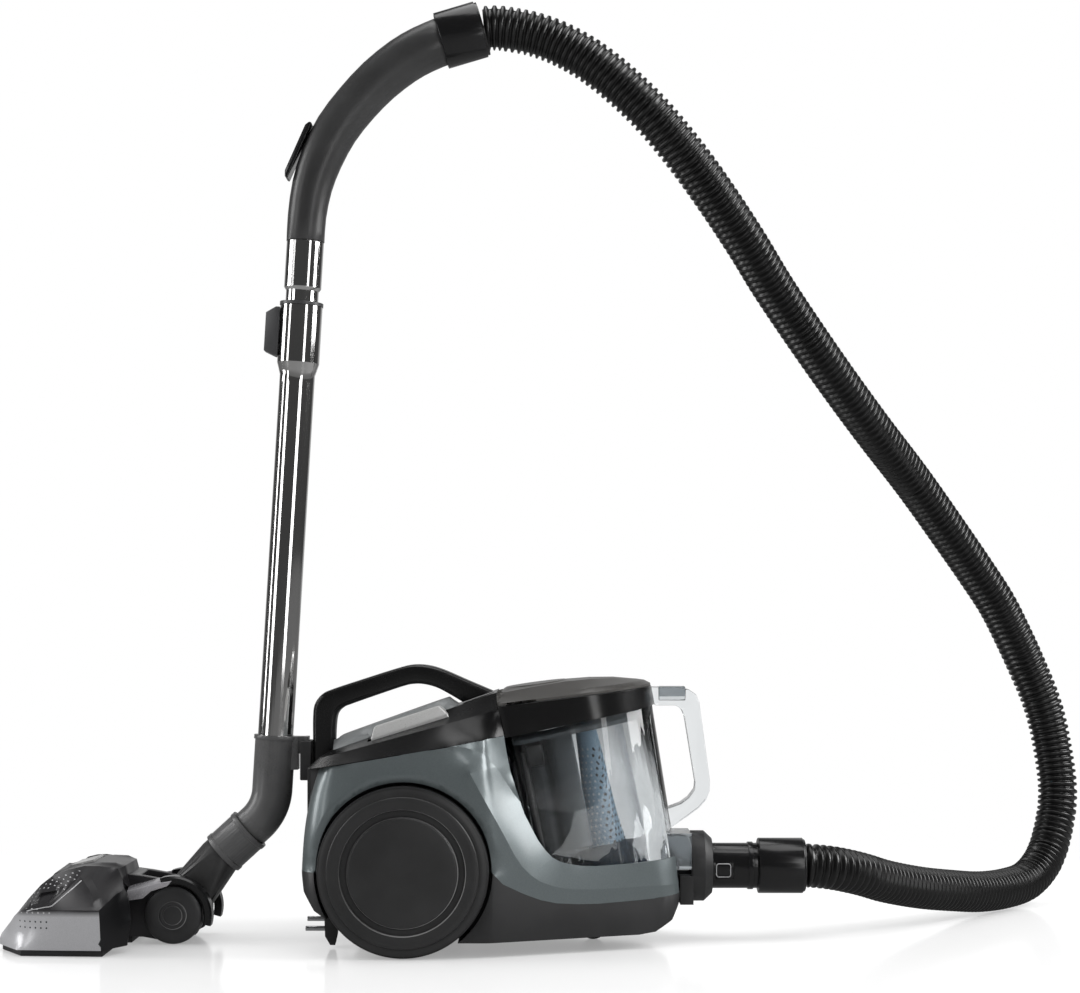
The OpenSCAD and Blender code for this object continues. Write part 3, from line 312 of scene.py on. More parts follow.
def polished(name, base, rough, ripple=0.00002, shine=0.5):
    """Gloss plastic: a faint ripple from the mould, with smudges and dust."""
    f = Finish(name)
    smudge, dust, ripples = f.noise(16, 5, rough=0.6), f.noise(900, 2), f.noise(60, 1)
    dark, pale = shades(base, 0.85, 1.25)
    return f.surface(
        base_color=f.blend(dust.ramp(0.55, 0.8), dark, pale),
        roughness=rough + smudge.ramp(0.45, 0.75) * 0.08, specular_ior_level=shine,
        normal=f.bump(ripples, ripple))


def metallic(name, base, metal=0.55, rough=0.36, coat=0.8):
    """Lacquered plastic with fine metal flakes."""
    f = Finish(name)
    flake, cloud = f.flakes(), f.noise(9, 3)
    dark, pale = shades(base, 0.9, 1.12)
    return f.surface(
        base_color=f.blend((flake * 0.7 + cloud * 0.3).ramp(0.15, 0.85), dark, pale),
        metallic=metal, roughness=rough + (flake - 0.5) * 0.06,
        normal=f.bump(flake, 0.000003), coat_weight=coat, coat_roughness=0.16)


def tube_steel(name):
    """Chromed steel tube: fine lines along its length and soft smears."""
    f = Finish(name)
    along = f.about(WAND_FOOT, (0, -WAND_LEAN, 0), (1, 1, 0.006))
    lines, smear = f.noise(1500, 2, at=along), f.noise(12, 4)
    return f.surface(
        base_color=f.blend(smear, (0.60, 0.595, 0.59), (0.74, 0.735, 0.73)), metallic=1.0,
        roughness=0.045 + lines * 0.04 + smear.ramp(0.5, 0.8) * 0.03, normal=f.bump(lines, 0.000001))


def bare_metal(name, base, rough=0.3):
    """Plain metal with short brushed marks."""
    f = Finish(name)
    marks = f.noise(700, 3, at=f.about(scale=(1, 0.1, 1)))
    dark, pale = shades(base, 0.8, 1.15)
    return f.surface(base_color=f.blend(marks, dark, pale), metallic=1.0,
                     roughness=rough + (marks - 0.5) * 0.2, normal=f.bump(marks, 0.00001))


def turned(name, base, centre, rough=0.42, pitch=0.0011, depth=0.00003, lines=(), bright=0.12):
    """Moulded disc with fine rings about an axle along Y, and painted highlight lines at some radii,
    brightest towards the lower front.
    """
    f = Finish(name)
    x, _, z = f.parts(f.about(centre))
    radius = (x * x + z * z).root()
    rings = (radius * (2 * math.pi / pitch)).wave() * 0.5 + 0.5
    fine, broad = f.noise(1300, 3), f.noise(25, 4)
    dark, pale = shades(base, 0.85, 1.2)
    shade = f.blend(broad.ramp(0.3, 0.7), dark, pale)
    if lines:
        # Painted highlight: pale rings at the given radii, faded by lit towards the upper rear. They stand
        # for lamp glints on the ring ridges.
        wear_and_highlight = sum((1 - abs(radius - at) / 0.0006).clipped() for at in lines)
        lit = ((x - z) / radius).ramp(-1.1, 1.2) * 0.8 + 0.2
        shade = f.blend((wear_and_highlight * lit).clipped(), shade, (bright,) * 3)
    return f.surface(
        base_color=shade,
        roughness=rough + (rings - 0.5) * 0.08 + (fine - 0.5) * 0.12,
        normal=f.bump(rings * 0.6 + fine * 0.4, depth))


def banded(name, low, high, start, end):
    """Lacquer that fades from one tone to another between two heights."""
    f = Finish(name)
    _, _, z = f.parts(f.place)
    flake, cloud = f.flakes(), f.noise(30, 3)
    fade = (z + (cloud - 0.5) * 0.002).ramp(start, end)
    return f.surface(
        base_color=f.blend(fade, f.blend(flake, *shades(low, 0.92, 1.08)),
                           f.blend(flake, *shades(high, 0.9, 1.1))),
        metallic=0.3, roughness=0.33 + (cloud - 0.5) * 0.08, normal=f.bump(flake, 0.000003),
        coat_weight=0.3, coat_roughness=0.2)


def rubber(name, base, rough=0.6):
    f = Finish(name)
    fine, wear_and_highlight = f.noise(900, 4), f.noise(30, 5)
    dark, pale = shades(base, 0.8, 1.5)
    return f.surface(base_color=f.blend(wear_and_highlight.ramp(0.5, 0.8), dark, pale),
                     roughness=rough + (wear_and_highlight - 0.5) * 0.2, normal=f.bump(fine, 0.00006))


def clear_plastic(name, base, rough=0.015, haze=0.03, through=1.0):
    """Clear moulding with faint flow marks and a haze of dust."""
    f = Finish(name)
    flow, dust = f.noise(14, 3), f.noise(35, 5)
    dark, pale = shades(base, 0.96, 1.03)
    f.surface(base_color=f.blend(dust, dark, pale), transmission_weight=through, ior=1.49,
              specular_ior_level=0.3,
              roughness=rough + dust.ramp(0.5, 0.8) * haze, normal=f.bump(flow, 0.00002))
    output = next(n for n in f.tree.nodes if n.bl_idname == "ShaderNodeOutputMaterial")
    solid = Signal(f.tree, output.inputs[0].links[0].from_socket)
    shadow, = f.rays("Shadow")
    whole = f.node("ShaderNodeMixShader", None, {
        0: shadow * 0.75, 1: solid, 2: f.node("ShaderNodeBsdfTransparent")})
    f.tree.links.new(whole.socket, output.inputs[0])
    return f.material


def film(name, base, least, most):
    """Thin clear wall: nearly open where it is faced, denser where it is seen edge-on."""
    f = Finish(name)
    facing = f.node("ShaderNodeLayerWeight", None, {"Blend": 0.5}, out=1)
    dust = f.noise(35, 5)
    dark, pale = shades(base, 0.92, 1.06)
    return f.surface(base_color=f.blend(dust, dark, pale), alpha=facing ** 3 * (most - least) + least,
                     roughness=dust.ramp(0.5, 0.8) * 0.05 + 0.08, normal=f.bump(dust, 0.000005))


def vinyl(name, base):
    """Gloss flexible hose: skin marks, and dust that dulls it in patches."""
    f = Finish(name)
    skin, dust = f.noise(500, 3), f.noise(18, 5)
    dark, pale = shades(base, 0.8, 1.6)
    return f.surface(base_color=f.blend(dust.ramp(0.5, 0.8), dark, pale),
                     roughness=0.24 + dust * 0.12 + (skin - 0.5) * 0.06, normal=f.bump(skin, 0.00003))


def foam(name, base):
    f = Finish(name)
    cells = f.node("ShaderNodeTexVoronoi", {"feature": "F1"}, {"Vector": f.place, "Scale": 900.0})
    dark, pale = shades(base, 0.45, 1.1)
    return f.surface(base_color=f.blend(cells.ramp(0.1, 0.7), dark, pale), roughness=0.95,
                     normal=f.bump(cells, 0.0004))


def hair(name, base):
    """Strip of bristles: fine upright strands."""
    f = Finish(name)
    strands = f.noise(2600, 2, at=f.about(scale=(1, 1, 0.03)))
    dark, pale = shades(base, 0.5, 2.0)
    return f.surface(base_color=f.blend(strands, dark, pale), roughness=0.6, normal=f.bump(strands, 0.0003))


FINISHES = {}


def mix_finishes(c):
    """All finishes, by the record's slot that each one stands for."""
    FINISHES.update(
        housing_black=moulded("housing_black", c.housing, 0.5),
        shell_grey=metallic("shell_grey", c.shell, 0.45, 0.36, 0.45),
        cover_black=polished("cover_black", c.gloss_black, 0.24, 0.000004, shine=0.3),
        deck_grey=metallic("deck_grey", c.deck, 0.3, 0.5, 0.1),
        handle_black=moulded("handle_black", c.handle, 0.24, 0.00001),
        motor_metal=bare_metal("motor_metal", (0.55, 0.56, 0.57), 0.35),
        soft_rubber=rubber("soft_rubber", (0.02, 0.02, 0.02)),
        copper=bare_metal("copper", (0.72, 0.33, 0.16), 0.25),
        fan_metal=bare_metal("fan_metal", (0.7, 0.71, 0.72), 0.25),
        steel=bare_metal("steel", (0.6, 0.61, 0.62), 0.2),
        white_plastic=moulded("white_plastic", (0.62, 0.62, 0.6), 0.4),
        cord_rubber=rubber("cord_rubber", (0.02, 0.02, 0.02), 0.45),
        filter_foam=foam("filter_foam", (0.3, 0.36, 0.42)),
        pedal_silver=metallic("pedal_silver", c.silver, 0.35, 0.3, 0.4),
        wheel_black=turned("wheel_black", c.wheel, WHEEL_CENTRE, lines=(0.0594, 0.0522), bright=0.35),
        tyre=turned("tyre", (0.016, 0.016, 0.0165), WHEEL_CENTRE, 0.42, 0.0016, 0.00003, (0.0722,), 0.35),
        clear=clear_plastic("clear", (0.8, 0.82, 0.83)),
        duct_smoke=clear_plastic("duct_smoke", (0.42, 0.45, 0.47), 0.1, 0.1, 0.85),
        smoke_dark=film("smoke_dark", (0.02, 0.032, 0.048), 0.7, 0.95),
        band_black=polished("band_black", (0.006, 0.006, 0.0062), 0.16),
        shroud_blue=polished("shroud_blue", c.cone, 0.25),
        smoke=film("smoke", (0.1, 0.115, 0.125), 0.62, 0.95),
        inner_clear=film("inner_clear", (0.3, 0.33, 0.36), 0.06, 0.7),
        lid_grey=moulded("lid_grey", c.lid, 0.34, 0.000006),
        cuff_black=polished("cuff_black", (0.008, 0.008, 0.0085), 0.2),
        hose_black=vinyl("hose_black", c.hose),
        grip_black=moulded("grip_black", c.grip, 0.36, 0.00003),
        chrome=tube_steel("chrome"),
        lock_grey=moulded("lock_grey", (0.05, 0.05, 0.052), 0.35),
        head_grey=metallic("head_grey", c.head, 0.25, 0.34, 0.25),
        bristle=hair("bristle", (0.02, 0.02, 0.02)),
        small_wheel=turned("small_wheel", (0.03, 0.03, 0.031), HEAD_AXLE, 0.38, 0.0013,
                           lines=(0.0135, 0.0094), bright=0.3),
        head_band=banded("head_band", (0.46, 0.46, 0.475), c.head, 0.0375, 0.0435),
        # Pale lacquer for the beams over the head's small wheels: a painted highlight for a glint on black
        # gloss.
        beam_gloss=metallic("beam_gloss", (0.42, 0.41, 0.43), 0.3, 0.25, 0.5),
        head_line=moulded("head_line", (0.42, 0.42, 0.43), 0.3),
        elbow_black=moulded("elbow_black", (0.085, 0.085, 0.086), 0.3, 0.00002),
        head_dark=moulded("head_dark", (0.008, 0.008, 0.009), 0.35),
        hole_dark=moulded("hole_dark", (0.01, 0.014, 0.018), 0.6),
        cone_light=polished("cone_light", (0.55, 0.66, 0.74), 0.3),
    )


# ---------------------------------------------------------------- mesh helpers


def new_piece(name, points, faces=()):
    mesh = bpy.data.meshes.new(name)
    mesh.from_pydata([tuple(p) for p in points], [], faces)
    piece = bpy.data.objects.new(name, mesh)
    bpy.context.scene.collection.objects.link(piece)
    return piece


@contextmanager
def editing(piece, source=None):
    """The source's mesh, or the piece's own, to be edited and put in the piece."""
    bm = bmesh.new()
    bm.from_mesh((source or piece).data)
    yield bm
    bm.to_mesh(piece.data)
    bm.free()


def tidy(piece):
    """Merges doubles and points the faces outwards."""
    with editing(piece) as bm:
        bmesh.ops.remove_doubles(bm, verts=bm.verts, dist=1e-6)
        bmesh.ops.recalc_face_normals(bm, faces=bm.faces)
    return piece


def bake(piece):
    """Turns the piece's modifiers into plain mesh."""
    graph = bpy.context.evaluated_depsgraph_get()
    made = bpy.data.meshes.new_from_object(piece.evaluated_get(graph))
    piece.modifiers.clear()
    if piece.type == "MESH":
        piece.data = made
        return piece
    name = piece.name
    bpy.data.objects.remove(piece)
    plain = bpy.data.objects.new(name, made)
    bpy.context.scene.collection.objects.link(plain)
    return plain


def soften(piece, width, steps=2, angle=32):
    """Rounds the sharp edges."""
    bevel = piece.modifiers.new("edge", "BEVEL")
    bevel.width, bevel.segments, bevel.limit_method = width, steps, "ANGLE"
    bevel.angle_limit, bevel.harden_normals, bevel.use_clamp_overlap = math.radians(angle), True, True
    bevel.miter_outer = "MITER_ARC"
    piece.data.shade_smooth()
    return bake(piece)


def settle(piece, body, finish, replaces=(), angle=35):
    """Shades, paints and fixes a finished piece to its body."""
    piece.data.materials.clear()
    piece.data.materials.append(FINISHES[finish])
    piece.data.shade_smooth()
    if angle:
        piece.data.set_sharp_from_angle(angle=math.radians(angle))
    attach(piece, body)
    if replaces:
        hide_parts(*replaces)
    return piece


def dress(node):
    """Puts its finish on a CAD node that stays as it is."""
    for slot in frame["nodes"][node].material_slots:
        slot.link = "OBJECT"
        slot.material = FINISHES[SLOT_OF[node]]


def eased(node, width=0.0006, steps=2, angle=32, finish=None, flat=1.0, smooth=35):
    """A CAD node's shape with rounded edges, in its place."""
    piece = new_piece(node + "_moulding", [])
    with editing(piece, frame["nodes"][node]) as bm:
        bmesh.ops.remove_doubles(bm, verts=bm.verts, dist=2e-5)
        bmesh.ops.dissolve_limit(bm, angle_limit=math.radians(flat), verts=bm.verts, edges=bm.edges)
    soften(piece, width, steps, angle)
    return settle(piece, BODY_OF[node], finish or SLOT_OF[node], (node,), smooth)


def square_axes(axis):
    """Two directions square to an axis."""
    axis = Vector(axis).normalized()
    side = axis.cross(Vector((0, 0, 1)) if abs(axis.z) < 0.9 else Vector((1, 0, 0))).normalized()
    return side, axis.cross(side)


def lathe(name, profile, at, axis, sides=128, closed=True):
    """A profile of (radius, distance along the axis), in millimetres, turned about an axis."""
    axis = Vector(axis).normalized()
    a, b = square_axes(axis)
    points, rows = [], []
    for radius, along in profile:
        radius *= MM
        centre = Vector(at) + axis * (along * MM)
        if radius < 1e-7:
            rows.append([len(points)] * sides)
            points.append(centre)
        else:
            rows.append(list(range(len(points), len(points) + sides)))
            points += [centre + radius * (a * math.cos(t) + b * math.sin(t))
                       for t in (2 * math.pi * k / sides for k in range(sides))]
    faces = []
    for low, high in zip(rows, rows[1:] + (rows[:1] if closed else [])):
        for k in range(sides):
            n = (k + 1) % sides
            corner = list(dict.fromkeys([low[k], low[n], high[n], high[k]]))
            if len(corner) > 2:
                faces.append(corner)
    return tidy(new_piece(name, points, faces))


def smooth_path(points, steps):
    """Points on a smooth curve through the given ones."""
    p = [Vector(v) for v in points]
    last, made = len(p) - 1, []
    for i in range(last):
        a, b, c, d = p[max(i - 1, 0)], p[i], p[i + 1], p[min(i + 2, last)]
        for k in range(steps):
            t = k / steps
            made.append(0.5 * (2 * b + (c - a) * t + (2 * a - 5 * b + 4 * c - d) * t * t
                               + (3 * b - a - 3 * c + d) * t ** 3))
    return made + [p[last]]


def path_length(points):
    return sum((b - a).length for a, b in zip(points, points[1:]))


def path_curve(name, points):
    data = bpy.data.curves.new(name, "CURVE")
    data.dimensions = "3D"
    spline = data.splines.new("POLY")
    spline.points.add(len(points) - 1)
    for point, place in zip(spline.points, points):
        point.co = (*place, 1)
    piece = bpy.data.objects.new(name, data)
    bpy.context.scene.collection.objects.link(piece)
    return piece


def thread(name, points, radius):
    """Thin round bead along a path."""
    path = path_curve(name, points)
    path.data.bevel_depth, path.data.bevel_resolution, path.data.use_fill_caps = radius, 2, True
    return tidy(bake(path))


def within(u, v, loop):
    """Whether (u, v) lies inside a closed line."""
    inside = False
    for a, b in zip(loop, loop[1:] + loop[:1]):
        if (a[1] > v) != (b[1] > v) and u < (b[0] - a[0]) * (v - a[1]) / (b[1] - a[1]) + a[0]:
            inside = not inside
    return inside


def relaxed(flat, heights, fixed, triangles):
    """Heights of a sheet that is held at the fixed points and stretched between them."""
    free = [k for k in range(len(flat)) if k not in fixed]
    row = {k: n for n, k in enumerate(free)}
    system, known = np.zeros((len(free), len(free))), np.zeros(len(free))
    for triangle in triangles:
        for n in range(3):
            a, b, c = triangle[n], triangle[n - 1], triangle[n - 2]
            first, second = flat[a] - flat[c], flat[b] - flat[c]
            weight = max(first.dot(second) / max(abs(first.cross(second)), 1e-9), 0.02)
            for i, j in ((a, b), (b, a)):
                if i in row:
                    system[row[i], row[i]] += weight
                    if j in row:
                        system[row[i], row[j]] -= weight
                    else:
                        known[row[i]] += weight * heights[j]
    if free:
        for k, height in zip(free, np.linalg.solve(system, known)):
            heights[k] = float(height)
    return heights


def stretched(name, outline, creases=(), holes=(), place=mm, spacing=4.0, wall=2.4, under=None):
    """A moulded wall: a sheet stretched over its outline, its holes and the creases inside it.

    Lines are lists of (u, v, w) in millimetres, and a crease comes with whether it is sharp. Along a
    line the sheet has the height w. place(u, v, w) is the point in space. `under` makes the underside
    flat at that height.
    """
    points, edges, sharp = [], [], set()
    for line, closed, crisp in ([(outline, True, True)] + [(hole, True, True) for hole in holes]
                                + [(line, False, crisp) for line, crisp in creases]):
        first = len(points)
        for a, b in zip(line, line[1:] + (line[:1] if closed else [])):
            steps = max(1, round((Vector(b[:2]) - Vector(a[:2])).length / spacing))
            points += [Vector(a).lerp(Vector(b), k / steps) for k in range(steps)]
        if not closed:
            points.append(Vector(line[-1]))
        count = len(points) - first
        for k in range(count if closed else count - 1):
            if crisp:
                sharp.add(len(edges))
            edges.append((first + k, first + (k + 1) % count))
    held = len(points)
    lines = np.array([p[:2] for p in points])
    low, high = lines.min(0), lines.max(0)
    for j in range(int((high[1] - low[1]) / (spacing * 0.866)) + 1):
        for i in range(int((high[0] - low[0]) / spacing) + 1):
            u, v = low[0] + (i + 0.5 * (j % 2)) * spacing, low[1] + j * spacing * 0.866
            if ((lines - (u, v)) ** 2).sum(1).min() > (0.6 * spacing) ** 2 and within(u, v, outline):
                points.append(Vector((u, v, 0)))
    flat, spans, faces, from_point, from_edge, _ = delaunay_2d_cdt(
        [p.to_2d() for p in points], edges, [], 0, 1e-4, True)
    flat = [Vector(p) for p in flat]
    heights, fixed = [0.0] * len(flat), set()
    for k, origins in enumerate(from_point):
        known = [o for o in origins if o < held]
        if known or not origins:
            nearest = known[0] if known else int(((lines - tuple(flat[k])) ** 2).sum(1).argmin())
            heights[k] = points[nearest].z
            fixed.add(k)
    kept = []
    for face in faces:
        u, v = sum((flat[k] for k in face), Vector((0, 0))) / len(face)
        if within(u, v, outline) and not any(within(u, v, hole) for hole in holes):
            kept.append(face)
    used = sorted({k for face in kept for k in face})
    fixed |= set(range(len(flat))) - set(used)
    heights = relaxed(flat, heights, fixed, kept)
    bm = bmesh.new()
    outer = {k: bm.verts.new(place(*flat[k], heights[k])) for k in used}
    inner = {k: bm.verts.new(place(*flat[k], heights[k] - wall if under is None else under)) for k in used}
    for face in kept:
        bm.faces.new([outer[k] for k in face])
        bm.faces.new([inner[k] for k in reversed(face)])
    crisp = {frozenset(span) for span, origins in zip(spans, from_edge) if sharp.intersection(origins)}
    for face in kept:
        for a, b in zip(face, face[1:] + face[:1]):
            edge = bm.edges.get((outer[a], outer[b]))
            if len(edge.link_faces) == 1:
                bm.faces.new((outer[b], outer[a], inner[a], inner[b]))
                edge.smooth = bm.edges.get((inner[a], inner[b])).smooth = False
            elif frozenset((a, b)) in crisp:
                edge.smooth = False
    bmesh.ops.recalc_face_normals(bm, faces=bm.faces)
    piece = new_piece(name, [])
    bm.to_mesh(piece.data)
    bm.free()
    return piece


def mirrored(line):
    """A line and its mirror image across the middle, joined at its end."""
    return line + [(x, -y, z) for x, y, z in reversed(line) if abs(y) > 1e-6]


def sleeve_faces(count, sides):
    """Faces of a closed sleeve whose points run ring after ring."""
    faces = [(i + k, i + (k + 1) % sides, i + sides + (k + 1) % sides, i + sides + k)
             for i in range(0, count - sides, sides) for k in range(sides)]
    return faces + [tuple(range(sides)), tuple(range(count - sides, count))]


def bar(name, stations, half, power=0.5, sides=32):
    """A rounded bar of width 2 * half across Y, through pairs of (x, z) on its outer and inner edge."""
    points = []
    for (ox, oz), (ix, iz) in stations:
        middle, reach = mm((ox + ix) / 2, 0, (oz + iz) / 2), mm((ox - ix) / 2, 0, (oz - iz) / 2)
        for k in range(sides):
            c, s = math.cos(2 * math.pi * k / sides), math.sin(2 * math.pi * k / sides)
            points.append(middle + reach * math.copysign(abs(c) ** power, c)
                          + mm(0, half * math.copysign(abs(s) ** power, s), 0))
    return tidy(new_piece(name, points, sleeve_faces(len(points), sides)))


def smooth_pairs(pairs, steps):
    """More stations on smooth curves through the given pairs of points."""
    outer, inner = [smooth_path([(x, 0, z) for x, z in line], steps) for line in zip(*pairs)]
    return [((a.x, a.z), (b.x, b.z)) for a, b in zip(outer, inner)]


def part_off(piece, name, test):
    """Moves the faces whose centre passes the test to a piece of their own."""
    other = new_piece(name, [])
    for target, keep in ((other, True), (piece, False)):
        with editing(target, piece) as bm:
            wrong = [face for face in bm.faces if bool(test(face.calc_center_median())) != keep]
            bmesh.ops.delete(bm, geom=wrong, context="FACES")
    return other


class Pattern(Graph):
    """A Geometry Nodes tree with named inputs, run on an object and baked."""

    kinds = {float: "NodeSocketFloat", bpy.types.Material: "NodeSocketMaterial"}

    def __init__(self, name, **inputs):
        super().__init__(bpy.data.node_groups.new(name, "GeometryNodeTree"))
        face = self.tree.interface
        face.new_socket("Geometry", in_out="INPUT", socket_type="NodeSocketGeometry")
        face.new_socket("Geometry", in_out="OUTPUT", socket_type="NodeSocketGeometry")
        self.given = {}
        for label, value in inputs.items():
            kind = next(s for k, s in self.kinds.items() if isinstance(value, k))
            self.given[face.new_socket(label, in_out="INPUT", socket_type=kind).identifier] = value
        entry = self.tree.nodes.new("NodeGroupInput")
        self.start = Signal(self.tree, entry.outputs[0])
        self.inputs = {s.name: Signal(self.tree, s) for s in entry.outputs if s.name}

    def run(self, piece, shape, finish):
        """Closes the tree with real geometry and a material, and bakes it on the piece."""
        real = self.node("GeometryNodeRealizeInstances", None, {"Geometry": shape})
        painted = self.node("GeometryNodeSetMaterial", None, {"Geometry": real, "Material": finish})
        self.tree.links.new(painted.socket, self.tree.nodes.new("NodeGroupOutput").inputs[0])
        modifier = piece.modifiers.new("pattern", "NODES")
        modifier.node_group = self.tree
        for identifier, value in self.given.items():
            modifier[identifier] = value
        made = bake(piece)
        bpy.data.node_groups.remove(self.tree)
        return made


# ---------------------------------------------------------------- hose


HOSE_PATH = [
    (393.3, 0, 72.8), (402, 1, 72.4), (425, 8, 69), (454, 28, 61), (484, 58, 50), (525, 98, 39),
    (565, 140, 31), (603, 183, 24.5), (640, 226, 23), (672, 263, 28), (697, 291, 48),
    (712, 308, 82), (719, 318, 125), (713, 325, 181), (702, 324, 224), (684, 320, 266),
    (666, 311, 301), (646, 300, 336), (621, 286, 370), (595, 270, 403), (541, 231, 468),
    (485, 180, 527), (430, 135, 590), (374, 90, 659), (342, 60, 702), (311, 36, 742),
    (279, 16, 781), (245, 4, 819), (215, 1, 848), (184, 0, 873), (154, 0, 891),
    (126, 0, 902), (99, 0, 907.7), (84, 0, 909.2), (72.9, 0, 908.5)]
HOSE_SPLIT = 20
HOSE_STEPS = 4


def ribbed(name, points, sizes):
    """A corrugated tube along a path: ring-shaped ribs of even pitch."""
    line = path_curve(name, points)
    g = Pattern("corrugation", Radius=sizes.radius, Valley=sizes.valley, Finish=FINISHES["hose_black"])
    radius, valley = g.inputs["Radius"], g.inputs["Valley"]
    ribs, rings_per_rib = round(path_length(points) / sizes.pitch), 6
    fine = g.node("GeometryNodeResampleCurve", {"mode": "COUNT"},
                  {"Curve": g.start, "Count": ribs * rings_per_rib + 1})
    along = g.node("GeometryNodeSplineParameter", out=0)
    crest = ((along * (2 * math.pi * ribs) - math.pi / 2).wave() * 0.85 + 0.5).clipped()
    size = valley + (radius - valley) * crest
    ring = g.node("GeometryNodeCurvePrimitiveCircle", None, {"Resolution": 28, "Radius": 1.0})
    wall = g.node("GeometryNodeCurveToMesh", None,
                  {"Curve": fine, "Profile Curve": ring, "Scale": size, "Fill Caps": True})
    return g.run(line, wall, g.inputs["Finish"])


def spots(name, places, radius, body, finish):
    """Small flat discs on a surface, one for each (point, outward direction)."""
    points = new_piece(name, [point + way * 0.00008 for point, way in places])
    ways = points.data.attributes.new("way", "FLOAT_VECTOR", "POINT")
    for k, (_, way) in enumerate(places):
        ways.data[k].vector = way
    g = Pattern(name + "_spots", Radius=radius, Finish=FINISHES[finish])
    way = g.node("GeometryNodeInputNamedAttribute", {"data_type": "FLOAT_VECTOR"}, {"Name": "way"})
    turn = g.node("FunctionNodeAlignRotationToVector", {"axis": "Z"}, {"Vector": way})
    disc = g.node("GeometryNodeMeshCircle", {"fill_type": "NGON"},
                  {"Vertices": 8, "Radius": g.inputs["Radius"]})
    spread = g.node("GeometryNodeInstanceOnPoints", None,
                    {"Points": g.start, "Instance": disc, "Rotation": turn})
    return settle(g.run(points, spread, g.inputs["Finish"]), body, finish)


class CLEANER_OT_hose(bpy.types.Operator):
    """Corrugated suction hose from the inlet cuff up to the grip"""

    bl_idname = "cleaner.hose"
    bl_label = "Hose"

    def execute(self, context):
        sizes = context.scene.cleaner.hose
        whole = smooth_path([mm(*p) for p in HOSE_PATH], HOSE_STEPS)
        middle, last = HOSE_PATH[HOSE_SPLIT], len(HOSE_PATH) - 1
        for name, bodies, (first, final), start, end in (
                ("hose_lower_run", ("chassis", "wand"), (0, HOSE_SPLIT), (420, 0, 70), middle),
                ("hose_upper_run", ("wand", "handle"), (HOSE_SPLIT, last), middle, (100, 0, 908))):
            points = whole[first * HOSE_STEPS:final * HOSE_STEPS + 1]
            piece = ribbed(name, points, sizes)
            piece.data.shade_smooth()
            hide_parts("hose")
            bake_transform(piece)
            path_length(points)
        return {"FINISHED"}


# ---------------------------------------------------------------- wheels


def wheel_profile(outer):
    """Section of a rear wheel and its tyre as (radius, distance out), in millimetres."""
    return [(0, outer), (20, outer), (50, outer), (51.3, outer - 0.5), (52, outer - 1.6), (52.4, outer - 4),
            (53.5, outer - 5), (58.4, outer - 5), (59, outer - 4.4), (59.3, outer - 1.6), (59.9, outer - 1),
            (60.7, outer - 1.1), (66, outer - 0.7), (70.6, outer - 0.6), (71.2, outer - 1),
            (71.6, outer - 2.2), (72, outer - 2.4), (72.6, outer - 2.2), (76, outer - 2.6),
            (78.6, outer - 3.8), (80.3, outer - 6.4), (81, outer - 10), (81, 4), (80.4, 1.2), (79, 0),
            (68, 0), (68, 18), (52, 21), (14, 21), (12, 4), (0, 4)]


class CLEANER_OT_wheels(bpy.types.Operator):
    """Rear wheels with their ring lines and tyres"""

    bl_idname = "cleaner.wheels"
    bl_label = "Rear wheels"

    def execute(self, context):
        whole, split = wheel_profile(34), 20
        disc = whole[:split] + [(71.2, 20)] + whole[-5:]
        tyre = [(71.3, 20), (71.3, 31)] + whole[split:split + 9] + [(71.3, 0)]
        for side, way in SIDES:
            at = WHEEL_CENTRE + mm(0, 111 * way, 0)
            for name, section, finish, node in (("disc", disc, "wheel_black", f"wheel_{side}"),
                                                ("tyre", tyre, "tyre", f"tyre_{side}")):
                piece = lathe(f"wheel_{side}_{name}", section, at, (0, way, 0), 160)
                settle(piece, f"wheel_{side}", finish, (node,), angle=40)
        face = [(0, 12), (8.6, 12), (9.2, 11.8), (9.4, 11), (9.9, 11), (10.2, 11.8), (10.8, 12), (12.4, 12),
                (13.1, 11.6), (13.4, 10.9), (14.2, 11), (15, 11.4), (21, 11.2), (25.5, 10.4), (27.6, 9),
                (28.4, 7.2), (28.4, 2), (26.5, 0), (0, 0)]
        for side, way in SIDES:
            piece = lathe(f"head_wheel_{side}_disc", face, HEAD_AXLE + mm(0, 32 * way, 0),
                          (0, way, 0), 96, closed=False)
            settle(piece, f"head_wheel_{side}", "small_wheel", (f"head_wheel_{side}",), angle=30)
        eased("caster_wheel", 0.002, 3)
        eased("caster_fork")
        dress("wheel_axles")
        return {"FINISHED"}


# ---------------------------------------------------------------- body


